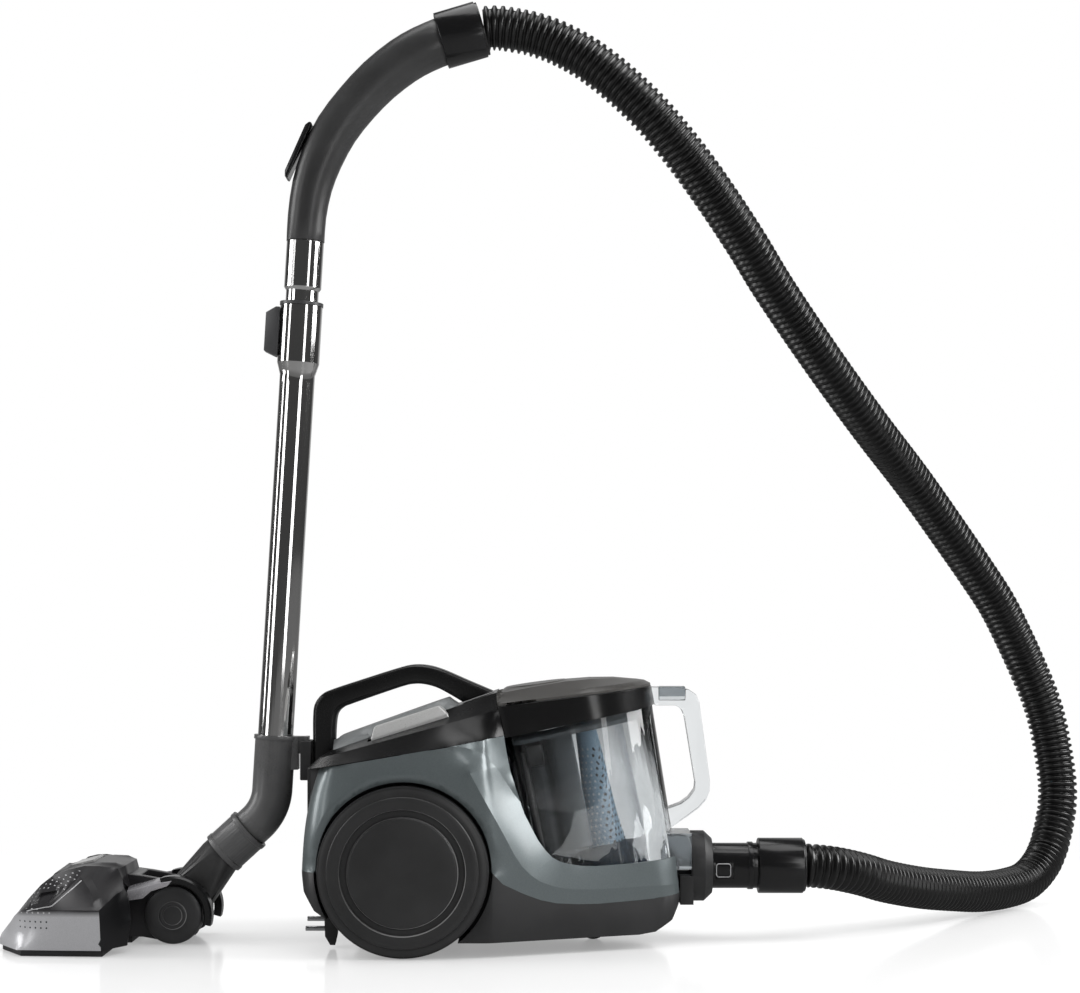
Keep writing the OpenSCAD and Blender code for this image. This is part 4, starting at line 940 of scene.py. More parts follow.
class Plan:
    """The body's outline from above: places along it and depths inwards from it, in millimetres."""

    def __init__(self):
        self.points = [Vector((-98, y)) for y in range(0, 102, 6)]
        for (x, y), radius, first, last in (((-68, 102), 30, 180, 90), ((75, 102), 30, 90, 67.85),
                                            ((225, 28), 42, 67.85, 0)):
            steps = max(2, round(abs(first - last) / 4))
            for k in range(steps + 1):
                t = math.radians(first + (last - first) * k / steps)
                self.points.append(Vector((x + radius * math.cos(t), y + radius * math.sin(t))))
        self.points.append(Vector((267, 0)))
        self.places = [0.0]
        for a, b in zip(self.points, self.points[1:]):
            self.places.append(self.places[-1] + (b - a).length)

    def flat(self, x, y, z):
        """(place, height, -depth) of a point on the body."""
        best = None
        for k, (a, b) in enumerate(zip(self.points, self.points[1:])):
            run = b - a
            t = min(max((Vector((x, y)) - a).dot(run) / run.length_squared, 0), 1)
            foot = a + run * t
            away = (Vector((x, y)) - foot).length
            if best is None or away < best[0]:
                outward = (Vector((x, y)) - foot).dot(Vector((-run.y, run.x))) > 0
                best = away, self.places[k] + run.length * t, outward
        return best[1], z, best[0] if best[2] else -best[0]

    def side(self, x, z, depth=0.0):
        """(place, height, -depth) of a point that lies over x on the body's side."""
        for k, (a, b) in enumerate(zip(self.points, self.points[1:])):
            if b.x > x >= a.x:
                t = (x - a.x) / (b.x - a.x)
                return self.places[k] + (b - a).length * t, z, -depth
        return self.flat(x, 28, z)

    def solid(self, way):
        """A function from (place, height, -depth) to the point in space, on one side of the body."""
        def place(s, z, w):
            k = next((n for n, run in enumerate(self.places[1:]) if run >= s), len(self.points) - 2)
            a, b = self.points[k], self.points[k + 1]
            t = (s - self.places[k]) / (self.places[k + 1] - self.places[k])
            before = self.points[max(k - 1, 0)]
            after = self.points[min(k + 2, len(self.points) - 1)]
            normal = ((b - before).normalized().lerp((after - a).normalized(), t)).normalized()
            at = a.lerp(b, t) + Vector((-normal.y, normal.x)) * w
            return mm(at.x, at.y * way, z)
        return place


def crown_height(x):
    """Height of the middle of the top cover over x, in millimetres."""
    return 217 + 0.355 * x


def shoulder_height(x):
    """Height of the top cover's fold below the crown."""
    return 207.9 + 0.272 * x


def roof(x, y):
    """Height of the top cover over (x, y), in millimetres."""
    rows = [(60, crown_height(x)), (98, shoulder_height(x)), (131, 192.8 + 0.165 * x)]
    if abs(y) <= 60:
        return rows[0][1]
    (a, low), (b, high) = rows[:2] if abs(y) < 98 else rows[1:]
    return low + (high - low) * (abs(y) - a) / (b - a)


class CLEANER_OT_body(bpy.types.Operator):
    """Underbody, side shells, top cover, deck and pedals"""

    bl_idname = "cleaner.body"
    bl_label = "Body"

    def execute(self, context):
        eased("lower_housing")
        plan = Plan()
        for side, way in SIDES:
            self.shell(plan, side, way)
        self.cover()
        self.deck()
        for node in ("power_pedal", "rewind_pedal"):
            eased(node, 0.0022, 4)
        eased("exhaust_grille", 0.0005)
        return {"FINISHED"}

    def shell(self, plan, side, way):
        """Side shell: round the rear corner, over the wheel's arch and along the rim to the inlet."""
        def arch(radius, first, last, depth):
            return [plan.side(radius * math.cos(t), 81 + radius * math.sin(t), depth)
                    for t in (math.radians(first + (last - first) * k / 40) for k in range(41))]

        seam = [plan.flat(x, y, 191.5 + 0.165 * x) for x, y in (
            (-81, 60), (-81, 98), (-76, 112), (-64, 124), (-46, 130.4), (0, 131), (40, 131),
            (53.8, 126.3), (70, 114.4), (86, 101), (94.4, 91.8))]
        bin_edge = [plan.flat(*p) for p in (
            (97.6, 92.2, 188), (101, 93, 172), (105, 94.6, 160), (110.3, 96.8, 144), (114, 98.6, 133),
            (127, 99.5, 108), (134, 98.5, 98.5), (141, 97, 91), (149, 95, 86.6), (158, 93, 84),
            (170, 90, 82.2), (184, 85.2, 81.5), (205, 77.5, 82.2), (224, 69.8, 83), (240, 62, 84.2),
            (253, 51, 85.1), (262, 38, 86))]
        foot = [plan.flat(265.8, 38, 51)] + [plan.side(x, z) for x, z in (
            (255, 49.6), (240.8, 48.4), (225, 47.5), (185, 46), (165, 46.6), (145, 48.5), (130, 52.2),
            (118, 57), (106, 62.4), (94, 69), (87, 74.6))]
        rear = [plan.flat(x, y, z) for x, y, z in (
            (-84.6, 127.1, 80), (-92, 120, 80), (-98, 102, 80), (-98, 52.3, 80), (-98, 52.3, 118),
            (-94, 52.3, 157), (-88, 52.3, 171))]
        outline = seam + bin_edge + foot + arch(84.4, 0, 179.3, 2.6) + rear
        neck_line = [plan.flat(*p) for p in (
            (46, 130.4, 199.1), (58, 125, 198), (69.5, 118.6, 193.6), (79, 112.8, 187.5),
            (87.1, 107.4, 178.2), (92, 103.8, 170.8), (98.5, 99, 160.5), (104, 97.2, 152),
            (110.3, 96.8, 144))]
        facet_rear = [plan.side(x, z) for x, z in (
            (62.9, 174.3), (72.4, 156.4), (84, 135.6), (96, 113.5), (105, 96), (112, 85), (120.5, 76.3))]
        rim_line = [plan.side(x, z) for x, z in (
            (120.5, 76.3), (129, 70), (140.4, 65.2), (150, 62.6), (160.5, 61), (188.6, 59.6),
            (222.8, 60.5), (240, 60.6), (255, 60.4))] + [plan.flat(264.9, 40, 60)]
        piece = stretched(
            f"side_shell_{side}_skin", outline,
            [(neck_line, True), (facet_rear, True), (rim_line, True), (arch(89.5, 12, 172, 0), False),
             ([plan.side(62.9, 174.3), plan.flat(87.1, 107.4, 178.2)], True),
             ([plan.side(120.5, 76.3), plan.flat(141, 97, 91)], True)],
            place=plan.solid(way), spacing=4.2, wall=2.6)
        settle(piece, "chassis", "shell_grey", (f"side_shell_{side}",), angle=0)

    def cover(self):
        """Top cover: three slopes on each side that draw in to the bin."""
        seam = [(x, y, 191.9 + 0.165 * x) for x, y in (
            (94.4, 91.6), (86, 101), (70, 114.4), (53.8, 126.3), (40, 131), (0, 131), (-46, 130.6),
            (-64, 128.5), (-80, 122), (-90, 112), (-94, 98), (-94, 0))]
        front = [(89, -89, 232.4), (87, -58, 247.6), (87, 58, 247.6), (89, 89, 232.4)]
        shoulder = mirrored([(x, y, shoulder_height(x)) for x, y in (
            (89, 89), (80, 90.5), (60, 95), (40, 98), (-58, 98), (-74, 93), (-82, 84), (-85, 72),
            (-85, 0))])
        crown = mirrored([(x, y, crown_height(x)) for x, y in (
            (87, 58), (40, 60), (-52, 60), (-67, 55), (-75, 46), (-77, 36), (-77, 0))])
        ring = [(-37.6, 43.4), (37.6, 43.4), (37.6, 60), (37.6, 80.6), (-37.6, 80.6), (-37.6, 60)]
        holes = [[(x, y * way, roof(x, y)) for x, y in ring] for way in (1, -1)]
        piece = stretched("top_cover_skin", mirrored(seam) + front,
                          [(shoulder, True), (crown, True)], holes, spacing=5.0, wall=0.8)
        settle(piece, "chassis", "cover_black", ("top_cover",), angle=0)

    def deck(self):
        """Raised silver deck with the two pedals' openings."""
        def on(x, y, lift):
            return x, y, crown_height(x) + lift

        rim = [(-78, 0), (-78, 34), (-73, 47), (-62, 56), (-40, 59), (24, 59), (37, 54), (45, 42),
               (48, 22), (48, 0)]
        edge = mirrored([on(x, y, 0.2) for x, y in rim])[:-1]
        brow = mirrored([on((x + 15) * 0.94 - 15, y * 0.92, 4.2) for x, y in rim])
        top = mirrored([on((x + 15) * 0.85 - 15, y * 0.66, 10.5) for x, y in rim])
        pedal = ((-37.7, 43.3), (37.7, 43.3), (37.7, 57.6), (-37.7, 57.6))
        holes = [[on(x, y * way, 0.6) for x, y in pedal] for way in (1, -1)]
        slots = [[on(x, y, 9) for x, y in ((-75.6, 12.4), (-72, 14.6), (-72, -14.6), (-75.6, -12.4))]]
        piece = stretched("control_deck_plate", edge, [(brow, False), (top, False)], holes + slots,
                          spacing=3.4, wall=2.2)
        settle(piece, "chassis", "deck_grey", ("control_deck",), angle=0)


class CLEANER_OT_handle(bpy.types.Operator):
    """Carrying handle and the parking bracket behind it"""

    bl_idname = "cleaner.handle"
    bl_label = "Carrying handle"

    def execute(self, context):
        pairs = [((-97, 162), (-75, 162)), ((-97, 195), (-74.8, 194)), ((-97, 222), (-74, 214)),
                 ((-95, 235), (-72, 225)), ((-87.5, 244.5), (-66.5, 231)), ((-76, 249.8), (-58, 234.6)),
                 ((-45, 260), (-33, 243.4)), ((-14, 269.8), (-6, 252.4)), ((2, 273.6), (5, 254.4)),
                 ((17, 273.2), (15, 253.8)), ((33, 268.8), (27, 250.4)), ((58, 258), (41, 243)),
                 ((83, 247.4), (52, 236.4))]
        piece = bar("carry_handle_bar", smooth_pairs(pairs, 6), 13.8, 0.42, 48)
        settle(piece, "chassis", "handle_black", ("carry_handle",), angle=50)
        eased("park_bracket", 0.0012, 3)
        return {"FINISHED"}


class CLEANER_OT_dust_bin(bpy.types.Operator):
    """Clear dust bin with its cone, cyclone tubes, band, lid and handle"""

    bl_idname = "cleaner.dust_bin"
    bl_label = "Dust bin"

    def execute(self, context):
        cup = eased("bin_cup", 0.0004, flat=0.05)
        duct = part_off(cup, "bin_duct", lambda c: c.x > 0.2405 and c.z < 0.108 and abs(c.y) < 0.0295)
        settle(duct, "bin", "duct_smoke")
        for name, section, finish in (
                ("inner_tube", [(38.4, -118), (38.6, -12), (37.4, -12), (37.2, -118)], "inner_clear"),
                ("inner_bowl", [(37, -150), (38.2, -119), (36.8, -119), (35.6, -149)], "smoke_dark")):
            piece = lathe(name, section, CONE_AT, BIN_TURN @ Vector((0, 0, 1)), 96)
            settle(piece, "bin", finish)
        self.rear_block()
        eased("bin_floor", 0.0005)
        self.band()
        eased("bin_handle", 0.0035, 4)
        self.lid()
        eased("release_trigger", 0.001, 3, finish="duct_smoke")
        eased("cyclone_cluster", 0.0004)
        eased("bin_shroud", 0.0004)
        self.holes(context.scene.cleaner.bin)
        return {"FINISHED"}

    def rear_block(self):
        """Dark wall behind the cone with the two lugs of the handle, seen through the clear cup."""
        rear = new_piece("bin_rear_block", [])
        with editing(rear) as bm:
            for low, high in (((-62, -70, -150), (-54, 70, -20)), ((-54, -76, -34), (-38, -44, -14)),
                              ((-54, 44, -34), (-38, 76, -14))):
                for vert in bmesh.ops.create_cube(bm, size=1)["verts"]:
                    corner = mm(*(b if c > 0 else a for a, b, c in zip(low, high, vert.co)))
                    vert.co = BIN_AT + BIN_TURN @ corner
        soften(tidy(rear), 0.0015, 3)
        settle(rear, "bin", "head_dark")

    def ring(self, radius, back, half, count):
        """Even points round the bin in millimetres: an arc in front, two cut corners at the rear."""
        arc = [Vector((radius * math.cos(t), radius * math.sin(t)))
               for t in (math.radians(k * 4) for k in range(-27, 28))]
        corners = [Vector((back + x, half * way - y * way))
                   for way in (1, -1) for x, y in ((0, 3), (1, 1), (3, 0))]
        flat = [p for p in arc if p.x > back + 30] + corners
        hull = [flat[k] for k in convex_hull_2d(flat)]
        start = max(range(len(hull)), key=lambda k: hull[k].x - abs(hull[k].y) * 0.01)
        hull = hull[start:] + hull[:start]
        if sum(a.cross(b) for a, b in zip(hull, hull[1:] + hull[:1])) < 0:
            hull = [hull[0]] + hull[:0:-1]
        hull.append(hull[0])
        runs = [0.0]
        for a, b in zip(hull, hull[1:]):
            runs.append(runs[-1] + (b - a).length)
        points = []
        for k in range(count):
            at = runs[-1] * k / count
            n = next(i for i, run in enumerate(runs[1:]) if run > at)
            points.append(hull[n].lerp(hull[n + 1], (at - runs[n]) / (runs[n + 1] - runs[n])))
        return points

    def band(self):
        """Gloss band under the lid, cut off slanting along the lid's lower edge."""
        turn, up, count = BIN_TURN.to_3x3(), Vector((0, 0, 1)), 160
        normal = LID_TURN.to_3x3() @ up
        points, faces = [], []
        for radius, back, half, low, drop in ((80.5, -72, 90.6, 0, 0.6), (80.5, -72, 90.6, 0.6, 0.05),
                                              (73, -66, 83.5, 0.6, 0.05), (73, -66, 83.5, 9.1, 0.05)):
            for p in self.ring(radius, back, half, count):
                foot = BIN_AT + turn @ mm(p.x, p.y, 0)
                rise = (LID_AT - foot).dot(normal) / (turn @ up).dot(normal) - drop * MM
                points += [foot + turn @ mm(0, 0, low), foot + turn @ Vector((0, 0, rise))]

        def at(row, k, top):
            return (row * count + k % count) * 2 + top

        for k in range(count):
            for (ra, ta), (rb, tb) in (((0, 0), (0, 1)), ((0, 1), (1, 1)), ((1, 1), (2, 1)),
                                       ((2, 1), (3, 0)), ((3, 0), (0, 0))):
                faces.append((at(ra, k, ta), at(ra, k + 1, ta), at(rb, k + 1, tb), at(rb, k, tb)))
        piece = tidy(new_piece("bin_band_ring", points, faces))
        soften(piece, 0.0005, 2, 50)
        settle(piece, "bin", "band_black", ("bin_band",), angle=30)

    def lid(self):
        """Domed lid with the raised oval step at its rear."""
        arc = [(79.4 * math.cos(t), 79.4 * math.sin(t))
               for t in (math.radians(k * 5) for k in range(-24, 25))]
        arc = [p for p in arc if p[0] > -40]
        back = [(-63 + 10 * math.cos(t), way * (80 + 10 * math.sin(t)))
                for way in (1, -1) for t in (math.radians(90 + k * 10) for k in range(10))]
        flat = [Vector(p) for p in arc + back]
        rim = [(flat[k].x, flat[k].y, 2.6) for k in convex_hull_2d(flat)]
        rear = [k for k, (x, y, _) in enumerate(rim) if x < -72.5]
        for k in rear:
            x, y, _ = rim[k]
            rim[k] = x, y, 4.5
        first = next(k for k in rear if rim[k - 1][0] >= -72.5)
        way = -1 if rim[first][1] < 0 else 1
        rim[first + 1:first + 1] = [(-73, y * way, z) for y, z in (
            (76, 6), (70, 8.6), (62, 11.4), (50, 12.4), (0, 12.8),
            (-50, 12.4), (-62, 11.4), (-70, 8.6), (-76, 6))]
        brow = [(x * 0.94 - 1, y * 0.94, 6.4) for x, y, _ in rim if x > -50]
        start = min(range(len(brow)), key=lambda k: (brow[k][0], brow[k][1]))
        brow = brow[start:] + brow[:start]
        ridge = [(-72.6, 62, 11.4), (-40, 58, 13.6), (-6, 50, 15.2), (20, 40, 14.4), (44, 27, 12.2),
                 (61, 14, 9), (66, 0, 8.4), (61, -14, 9), (44, -27, 12.2), (20, -40, 14.4), (-6, -50, 15.2),
                 (-40, -58, 13.6), (-72.6, -62, 11.4)]

        def oval(grow, lift):
            return [(-34 + (32 + grow) * math.cos(t), (46 + grow) * math.sin(t),
                     14.2 + 0.02 * (30 + (30 + grow) * math.cos(t)) + lift)
                    for t in (2 * math.pi * k / 48 for k in range(49))]

        piece = stretched(
            "lid_dome", rim, [(brow, False), (ridge, True), (oval(0, 0), True), (oval(-2.2, 1.1), True)],
            place=lambda u, v, w: LID_AT + LID_TURN @ mm(u, v, w), spacing=3.6, under=0.35)
        settle(piece, "bin_lid", "lid_grey", ("lid_cover",), angle=0)

    def holes(self, sizes):
        """Rows of small holes round the cone, on its outside."""
        cone_foot, cone_tip, cone_at, cone_height, proud = 0.023, 0.009, -0.175, 0.163, 0.00012
        low, high = -0.138, -0.03
        light, dark = [], []
        for row in range(int((high - low) / sizes.hole_pitch)):
            along = low + row * sizes.hole_pitch
            radius = cone_foot + (cone_tip - cone_foot) * (along - cone_at) / cone_height + proud
            count = int(2 * math.pi * radius / sizes.hole_pitch)
            for k in range(count):
                t = 2 * math.pi * (k + 0.5 * (row % 2)) / count
                way = BIN_TURN @ Vector((math.cos(t), math.sin(t), 0))
                point = CONE_AT + way * radius + BIN_TURN @ Vector((0, 0, along))
                (light if way.x < 0.1 else dark).append((point, way))
        spots("cone_holes_rear", light, sizes.hole, "bin", "cone_light")
        spots("cone_holes_front", dark, sizes.hole * 1.25, "bin", "hole_dark")


class CLEANER_OT_inlet(bpy.types.Operator):
    """Inlet collar, hose connector with its latches, and the cuff"""

    bl_idname = "cleaner.inlet"
    bl_label = "Inlet"

    def execute(self, context):
        eased("inlet_collar", 0.0012, 3)
        eased("hose_connector", 0.0008, 3, finish="cuff_black")
        for side, way in SIDES:
            node = f"hose_latch_{side}"
            latch = eased(node, 0.0016, 4, finish="cuff_black")
            face = max(abs(vert.co.y) for vert in latch.data.vertices)
            # A thin pale ring round each latch's face: a painted highlight along the button's edge.
            ring = thread(node + "_ring", self.rounded_frame(way * (face - 0.0003)), 0.00045)
            settle(ring, node, "head_line")
        eased("hose_cuff", 0.0014, 3)
        return {"FINISHED"}

    def rounded_frame(self, y):
        """A rectangle with round corners on a latch's face: four corner points and a radius."""
        points, (x, z), (half_x, half_z), radius = [], (0.3105, 0.0705), (4.4, 3.9), 2.6
        for t in (math.radians(k * 10) for k in range(37)):
            right, up = math.copysign(1, math.cos(t + 0.01)), math.copysign(1, math.sin(t + 0.01))
            points.append(Vector((x + (half_x * right + radius * math.cos(t)) * MM, y,
                                  z + (half_z * up + radius * math.sin(t)) * MM)))
        return points


class CLEANER_OT_wand(bpy.types.Operator):
    """Steel tubes with their lock, the elbow and the bent grip"""

    bl_idname = "cleaner.wand"
    bl_label = "Wand"

    def execute(self, context):
        for node in ("lower_tube", "upper_tube", "tube_collar"):
            self.loops(eased(node, 0.0004, smooth=8))
        eased("tube_lock", 0.0012, 3)
        eased("elbow", finish="elbow_black")
        eased("grip")
        eased("suction_slider", 0.001, 3)
        eased("grip_cuff", 0.0014, 3)
        return {"FINISHED"}

    def loops(self, piece):
        """Even rings of edges up a tube, so that its shading stays straight."""
        first, step = 0.203, 0.013
        with editing(piece) as bm:
            for k in range(40):
                bmesh.ops.bisect_plane(bm, geom=bm.verts[:] + bm.edges[:] + bm.faces[:],
                                       plane_co=(0, 0, first + k * step), plane_no=(0, 0, 1))


class CLEANER_OT_floor_head(bpy.types.Operator):
    """Neck, knuckle and floor head"""

    bl_idname = "cleaner.floor_head"
    bl_label = "Floor head"

    def execute(self, context):
        eased("neck_sleeve", finish="elbow_black")
        eased("knuckle", 0.0012, 3)
        eased("head_carriage", 0.001, 3)
        self.cover()
        self.fenders()
        eased("head_sole", 0.0008)
        pedal = eased("head_pedal", 0.001, 3)
        for vert in pedal.data.vertices:
            vert.co.z -= 0.0045
        dress("head_bristles")
        return {"FINISHED"}

    def cover(self):
        """Head cover: a sloping top and two sides with a band, a raised corner and dimples."""
        ridge = [(-392, 78, 11), (-390, 78.6, 16), (-377, 82, 32.5), (-362, 85, 51), (-350, 86.5, 64),
                 (-338.6, 84, 73), (-326.6, 70, 76.7), (-314.5, 56, 78.6), (-301.6, 49, 77.7),
                 (-284, 46, 75), (-280, 46, 66)]
        opening = [(-334.4, 26.2, 75.6), (-334.4, -26.2, 75.6), (-309.6, -26.2, 80), (-309.6, 26.2, 80)]
        crest = [(-391, 58, 14), (-378, 58, 33), (-360, 58, 54), (-345, 56, 68), (-326, 44, 77),
                 (-302, 36, 80), (-288, 34, 79.5), (-280, 33, 76), (-275, 32, 60)]
        outline = ([(x, -y, z) for x, y, z in ridge]
                   + [(-274, -30, 54), (-273, 0, 54), (-274, 30, 54)] + ridge[::-1])
        rib = [(-372, 30, 43), (-350, 26, 68), (-341, 0, 75.5), (-350, -26, 68), (-372, -30, 43)]
        lip = [(-283, -44, 74.5), (-279, -30, 76.5), (-277, 0, 77.5), (-279, 30, 76.5), (-283, 44, 74.5)]
        far_crest = [(x, -y, z) for x, y, z in crest]
        top = stretched("head_cover_top", outline,
                        [(crest, False), (far_crest, False), (rib, True), (lip, True)], [opening])
        settle(top, "floor_head", "head_grey", ("head_cover",), angle=0)
        for side, way in SIDES:
            outline = [(x, z, y) for x, y, z in (
                [(-285, 126, 6), (-340, 122, 6), (-366, 119.5, 6), (-380, 98, 6), (-392, 78, 6)] + ridge
                + [(-275, 62, 57), (-268.5, 76, 52), (-263.6, 88, 30), (-267, 90, 6)])]
            band = [(-287, 44, 125), (-334, 44, 122.4), (-362, 43, 118.5), (-372, 36, 104),
                    (-382, 24.5, 84.5)]
            raised = [(-312.5, 71, 83), (-328.5, 54, 111.6), (-335, 46.4, 120.4), (-358, 43.2, 118.8)]
            low = [(-315, 70.6, 79.5), (-330.6, 55.4, 107.6), (-337, 47.8, 116.4), (-357, 45.4, 115)]
            frame_out = [(-351.5, 48.4, 113.4), (-347, 58, 103), (-329.5, 61, 105.4), (-337, 50.2, 114.6)]
            frame_in = [(-349, 49.8, 109.6), (-345.6, 56.4, 101.4), (-332, 58.8, 103.4),
                        (-338.4, 51.2, 111.2)]
            piece = stretched(
                f"head_cover_{side}", outline,
                [([(-285, 6, 126), (-287, 44, 125), (-268, 64, 90)], True), (band, True), (raised, True),
                 (low, False), (frame_out + frame_out[:1], True), (frame_in + frame_in[:1], True),
                 ([(-312.5, 71, 83), (-301, 61, 102), (-291, 50, 118)], True),
                 ([(-304, 69, 76), (-294.5, 60, 94), (-286.5, 52, 109)], True)],
                place=lambda x, z, y: mm(x, y * way, z), spacing=3.6)
            self.dimples(piece, side, way)
            strip = part_off(piece, f"head_band_{side}", lambda c: c.z < 0.0475 and c.x < -0.2862)
            corner = part_off(piece, f"head_corner_{side}", lambda c: c.x > -0.2872 + (c.z - 0.044) * 0.95)
            settle(piece, "floor_head", "head_grey", angle=0)
            settle(strip, "floor_head", "head_band", angle=0)
            settle(corner, "floor_head", "head_dark", angle=0)

    def dimples(self, piece, side, way):
        """Dimples on the side of the cover, and the bright line under its raised corner."""
        tree = BVHTree.FromObject(piece, bpy.context.evaluated_depsgraph_get())

        def on(x, z):
            return tree.ray_cast(mm(x, 200 * way, z), Vector((0, -way, 0)))[:2]

        tops = [(-360.8, 51), (-355.6, 56), (-350, 60.6), (-344.4, 65), (-338.8, 68.4), (-333.2, 70.6),
                (-327.8, 72.2), (-322.4, 73.6), (-317, 75)]
        pale = [(x - 0.85 * row, z - 3.15 * row) for x, z in tops for row in range(7)]
        pale = [(x, z) for x, z in pale if x < -309 - (78 - z) * 0.92 and z > 47.6
                and not (-353 + (z - 48) * 0.3 < x < -327 and z < 61.6)]
        pale += [(-334.5 - 5.5 * k - shift, z) for k in range(8)
                 for z, shift in ((44.8, 1), (41.2, 0), (37.6, -1)) if z < 43 or k > 1]
        dark = [(-337.5 - 5.5 * k, z) for k in range(6) for z in (32.6, 26.8)]
        for name, places, finish in (("pale", pale, "head_line"), ("dark", dark, "hole_dark")):
            hits = [hit for hit in (on(*p) for p in places) if hit[0]]
            spots(f"head_dimples_{side}_{name}", hits, 0.0009, "floor_head", finish)
        line = smooth_path([on(*p)[0] for p in (
            (-311, 68), (-317, 62), (-325, 54.6), (-331.5, 48.6), (-334.5, 47), (-340.4, 46),
            (-356.4, 42.8))], 3)
        settle(thread(f"head_line_{side}", line, 0.0006), "floor_head", "head_line")

    def fenders(self):
        """Gloss arches over the small wheels, and pale beams over them that carry a painted highlight."""
        section = ((30.6, 28), (30.6, 42.6), (32, 43.8), (36.6, 43.8), (38.4, 42), (38.4, 28))
        side_view = ((-276, 56.5), (-262, 60), (-248, 64), (-231, 66.6), (-236, 61), (-252, 56),
                     (-260, 49), (-274, 47))
        for side, way in SIDES:
            points = [HEAD_AXLE + mm(radius * math.cos(t), y * way, radius * math.sin(t))
                      for t in (math.radians(-16 + k * 5) for k in range(26)) for radius, y in section]
            piece = tidy(new_piece(f"head_fender_{side}", points, sleeve_faces(len(points), len(section))))
            settle(piece, "floor_head", "cuff_black", angle=40)
            # Pale plates over the carriage arms: a painted highlight where the black gloss arm catches the
            # lamps.
            points = [mm(x, y * way, z - drop) for y, drop in ((30, 0), (44.6, 4)) for x, z in side_view]
            beam = tidy(new_piece(f"head_highlight_beam_{side}", points, sleeve_faces(len(points), len(side_view))))
            soften(beam, 0.0012, 3)
            settle(beam, "floor_head", "beam_gloss")


class CLEANER_OT_inner_works(bpy.types.Operator):
    """Motor, fan, cord reel, filters, screws and the mains plug"""

    bl_idname = "cleaner.inner_works"
    bl_label = "Inner works"

    def execute(self, context):
        for node in ("motor_casing", "motor_mounts", "motor_rotor", "motor_fan", "reel_pin", "reel_drum",
                     "reel_spring", "mains_cord", "exhaust_filter", "pre_motor_filter", "housing_screws"):
            dress(node)
        plug = eased("mains_plug", 0.001, 3)
        pins = part_off(plug, "mains_plug_pins", lambda c: c.x < -0.0805)
        settle(pins, "chassis", "steel")
        return {"FINISHED"}


# ---------------------------------------------------------------- stage


def soft_lamp(name, at, aim, size, power):
    data = bpy.data.lights.new(name, "AREA")
    data.shape, data.size, data.size_y, data.energy = "RECTANGLE", *size, power
    lamp = bpy.data.objects.new(name, data)
    lamp.location = at
    lamp.rotation_euler = (Vector(aim) - Vector(at)).to_track_quat("-Z", "Y").to_euler()
    bpy.context.scene.collection.objects.link(lamp)


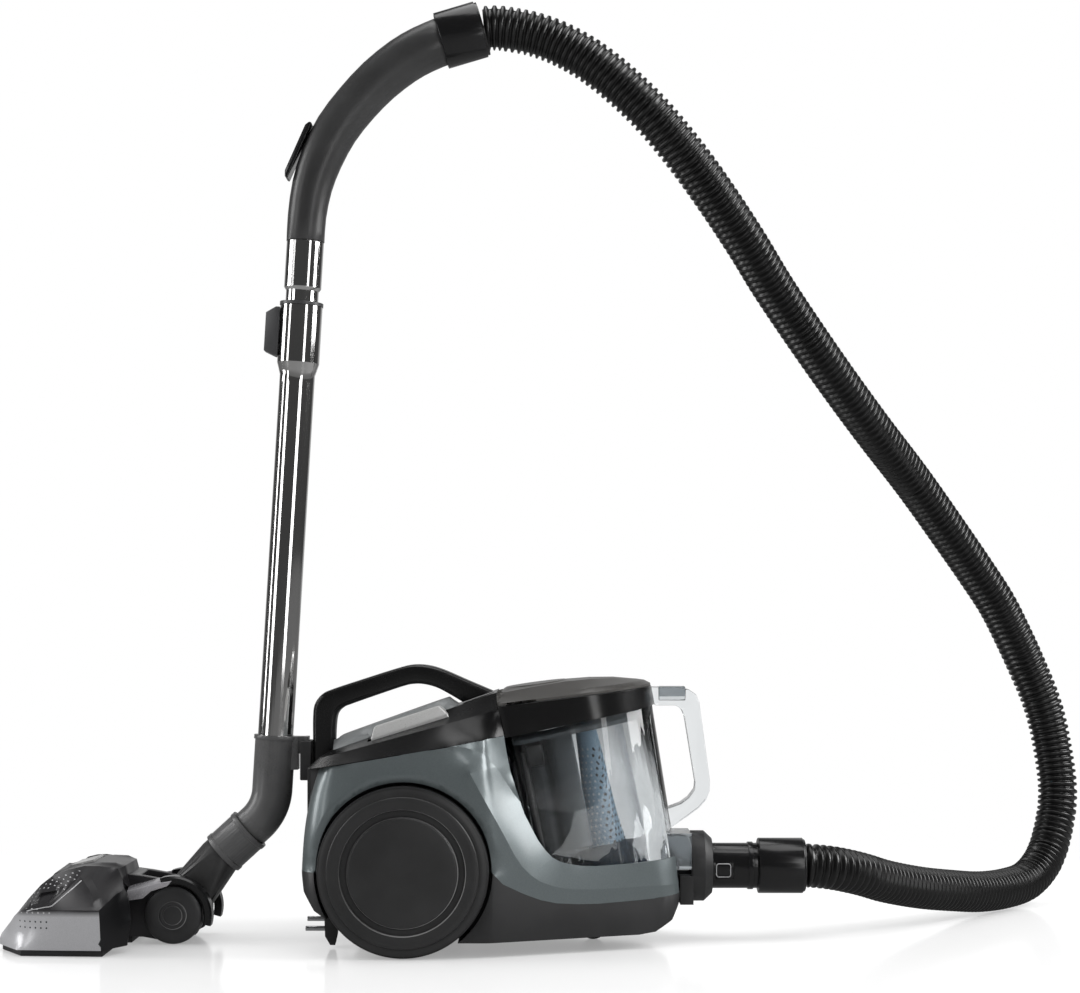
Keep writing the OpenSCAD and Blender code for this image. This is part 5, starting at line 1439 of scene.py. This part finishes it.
class CLEANER_OT_stage(bpy.types.Operator):
    """Camera, pale floor, background and soft lamps"""

    bl_idname = "cleaner.stage"
    bl_label = "Stage"

    def execute(self, context):
        data = bpy.data.cameras.new("camera")
        data.lens, data.sensor_width, data.shift_y = 75.1, 36, 0.1125
        camera = bpy.data.objects.new("camera", data)
        camera.location, camera.rotation_euler = (0.129, -2.25, 0.32), (math.pi / 2, 0, 0)
        context.scene.collection.objects.link(camera)
        context.scene.camera = camera
        self.floor()
        self.background()
        for lamp in (("left_box", (-1.95, 0.05, 0.95), (-0.05, 0, 0.3), (0.6, 1.5), 16),
                     ("right_box", (1.9, 0.0, 1.15), (0.1, 0, 0.15), (1.15, 0.95), 30),
                     ("left_front", (-2.0, -1.15, 0.8), (0, 0, 0.4), (0.35, 1.8), 7),
                     ("right_front", (1.25, -1.95, 0.9), (0.05, 0, 0.4), (0.4, 1.6), 7),
                     ("top_box", (0.2, 0.1, 2.6), (0.1, 0, 0), (2.2, 1.6), 26)):
            soft_lamp(*lamp)
        context.scene.view_settings.view_transform = "Standard"
        return {"FINISHED"}

    def floor(self):
        """Pale glossy floor that turns white with distance, and shows grey in reflections."""
        f = Finish("floor_white")
        camera, glossy, through = f.rays("Camera", "Glossy", "Transmission")
        rays = (camera + through).clipped()
        lift = f.blend(rays, (0, 0, 0), (1, 1, 1))
        x, y, _ = f.parts(f.place)
        far = (((x - 0.1) * (x - 0.1) * 0.45 + y * y).root()).ramp(0.32, 0.95)
        near = f.node("ShaderNodeBsdfPrincipled", None, {
            "Base Color": (0.78, 0.78, 0.78, 1), "Roughness": 0.12,
            "Emission Color": lift, "Emission Strength": 0.3})
        white = f.node("ShaderNodeEmission", None, {"Color": (1, 1, 1, 1), "Strength": 1.0})
        grey = f.node("ShaderNodeEmission", None, {"Color": (1, 1, 1, 1), "Strength": 0.16})
        near = f.node("ShaderNodeMixShader", None, {0: glossy * 0.8, 1: near, 2: grey})
        whole = f.node("ShaderNodeMixShader", None, {0: far * rays, 1: near, 2: white})
        f.node("ShaderNodeOutputMaterial", None, {"Surface": whole})
        span, depth = 9.0, CAD_BOX[0].z - 0.0002
        floor = new_piece("floor", [(-span, -span, depth), (span, -span, depth), (span, span, depth),
                                    (-span, span, depth)], [(0, 1, 2, 3)])
        floor.data.materials.append(f.material)

    def background(self):
        """White for the camera, with a bright strip behind the object for reflections."""
        world = bpy.data.worlds.new("studio")
        bpy.context.scene.world = world
        world.use_nodes = True
        g = Graph(world.node_tree)
        g.tree.nodes.clear()
        camera, glossy, through = g.rays("Camera", "Glossy", "Transmission")
        _, way, _ = g.parts(g.node("ShaderNodeTexCoord", out=0))
        behind = way.ramp(0.7, 0.95)
        seen = (camera + through * (way.ramp(0.1, 0.6) * 0.65 + 0.35)).clipped()
        level = seen + (1 - seen) * (glossy * (behind * 0.5 + 0.06) + (1 - glossy) * 0.6)
        sky = g.node("ShaderNodeBackground", None, {"Color": (1, 1, 1, 1), "Strength": level})
        g.node("ShaderNodeOutputWorld", None, {"Surface": sky})


# ---------------------------------------------------------------- panel and run


OPERATORS = (CLEANER_OT_stage, CLEANER_OT_hose, CLEANER_OT_wheels, CLEANER_OT_body, CLEANER_OT_handle,
             CLEANER_OT_dust_bin, CLEANER_OT_inlet, CLEANER_OT_wand, CLEANER_OT_floor_head,
             CLEANER_OT_inner_works)


class CLEANER_PT_panel(bpy.types.Panel):
    """Lists the pieces of the vacuum cleaner and their settings"""

    bl_idname = "CLEANER_PT_panel"
    bl_label = "Vacuum cleaner"
    bl_space_type = "VIEW_3D"
    bl_region_type = "UI"
    bl_category = "Cleaner"

    def draw(self, context):
        settings = context.scene.cleaner
        for group in (settings.colours, settings.hose, settings.bin):
            box = self.layout.box()
            for key in group.__annotations__:
                box.prop(group, key)
        for operator in OPERATORS:
            self.layout.operator(operator.bl_idname)


CLASSES = (CleanerColours, HoseSizes, BinSizes, CleanerSettings) + OPERATORS + (CLEANER_PT_panel,)


def register():
    for item in CLASSES:
        bpy.utils.register_class(item)
    bpy.types.Scene.cleaner = bpy.props.PointerProperty(type=CleanerSettings)


def unregister():
    del bpy.types.Scene.cleaner
    for item in reversed(CLASSES):
        bpy.utils.unregister_class(item)


def main():
    register()
    mix_finishes(bpy.context.scene.cleaner.colours)
    for operator in OPERATORS:
        getattr(bpy.ops.cleaner, operator.bl_idname.split(".")[1])()


if __name__ == "__main__":
    main()
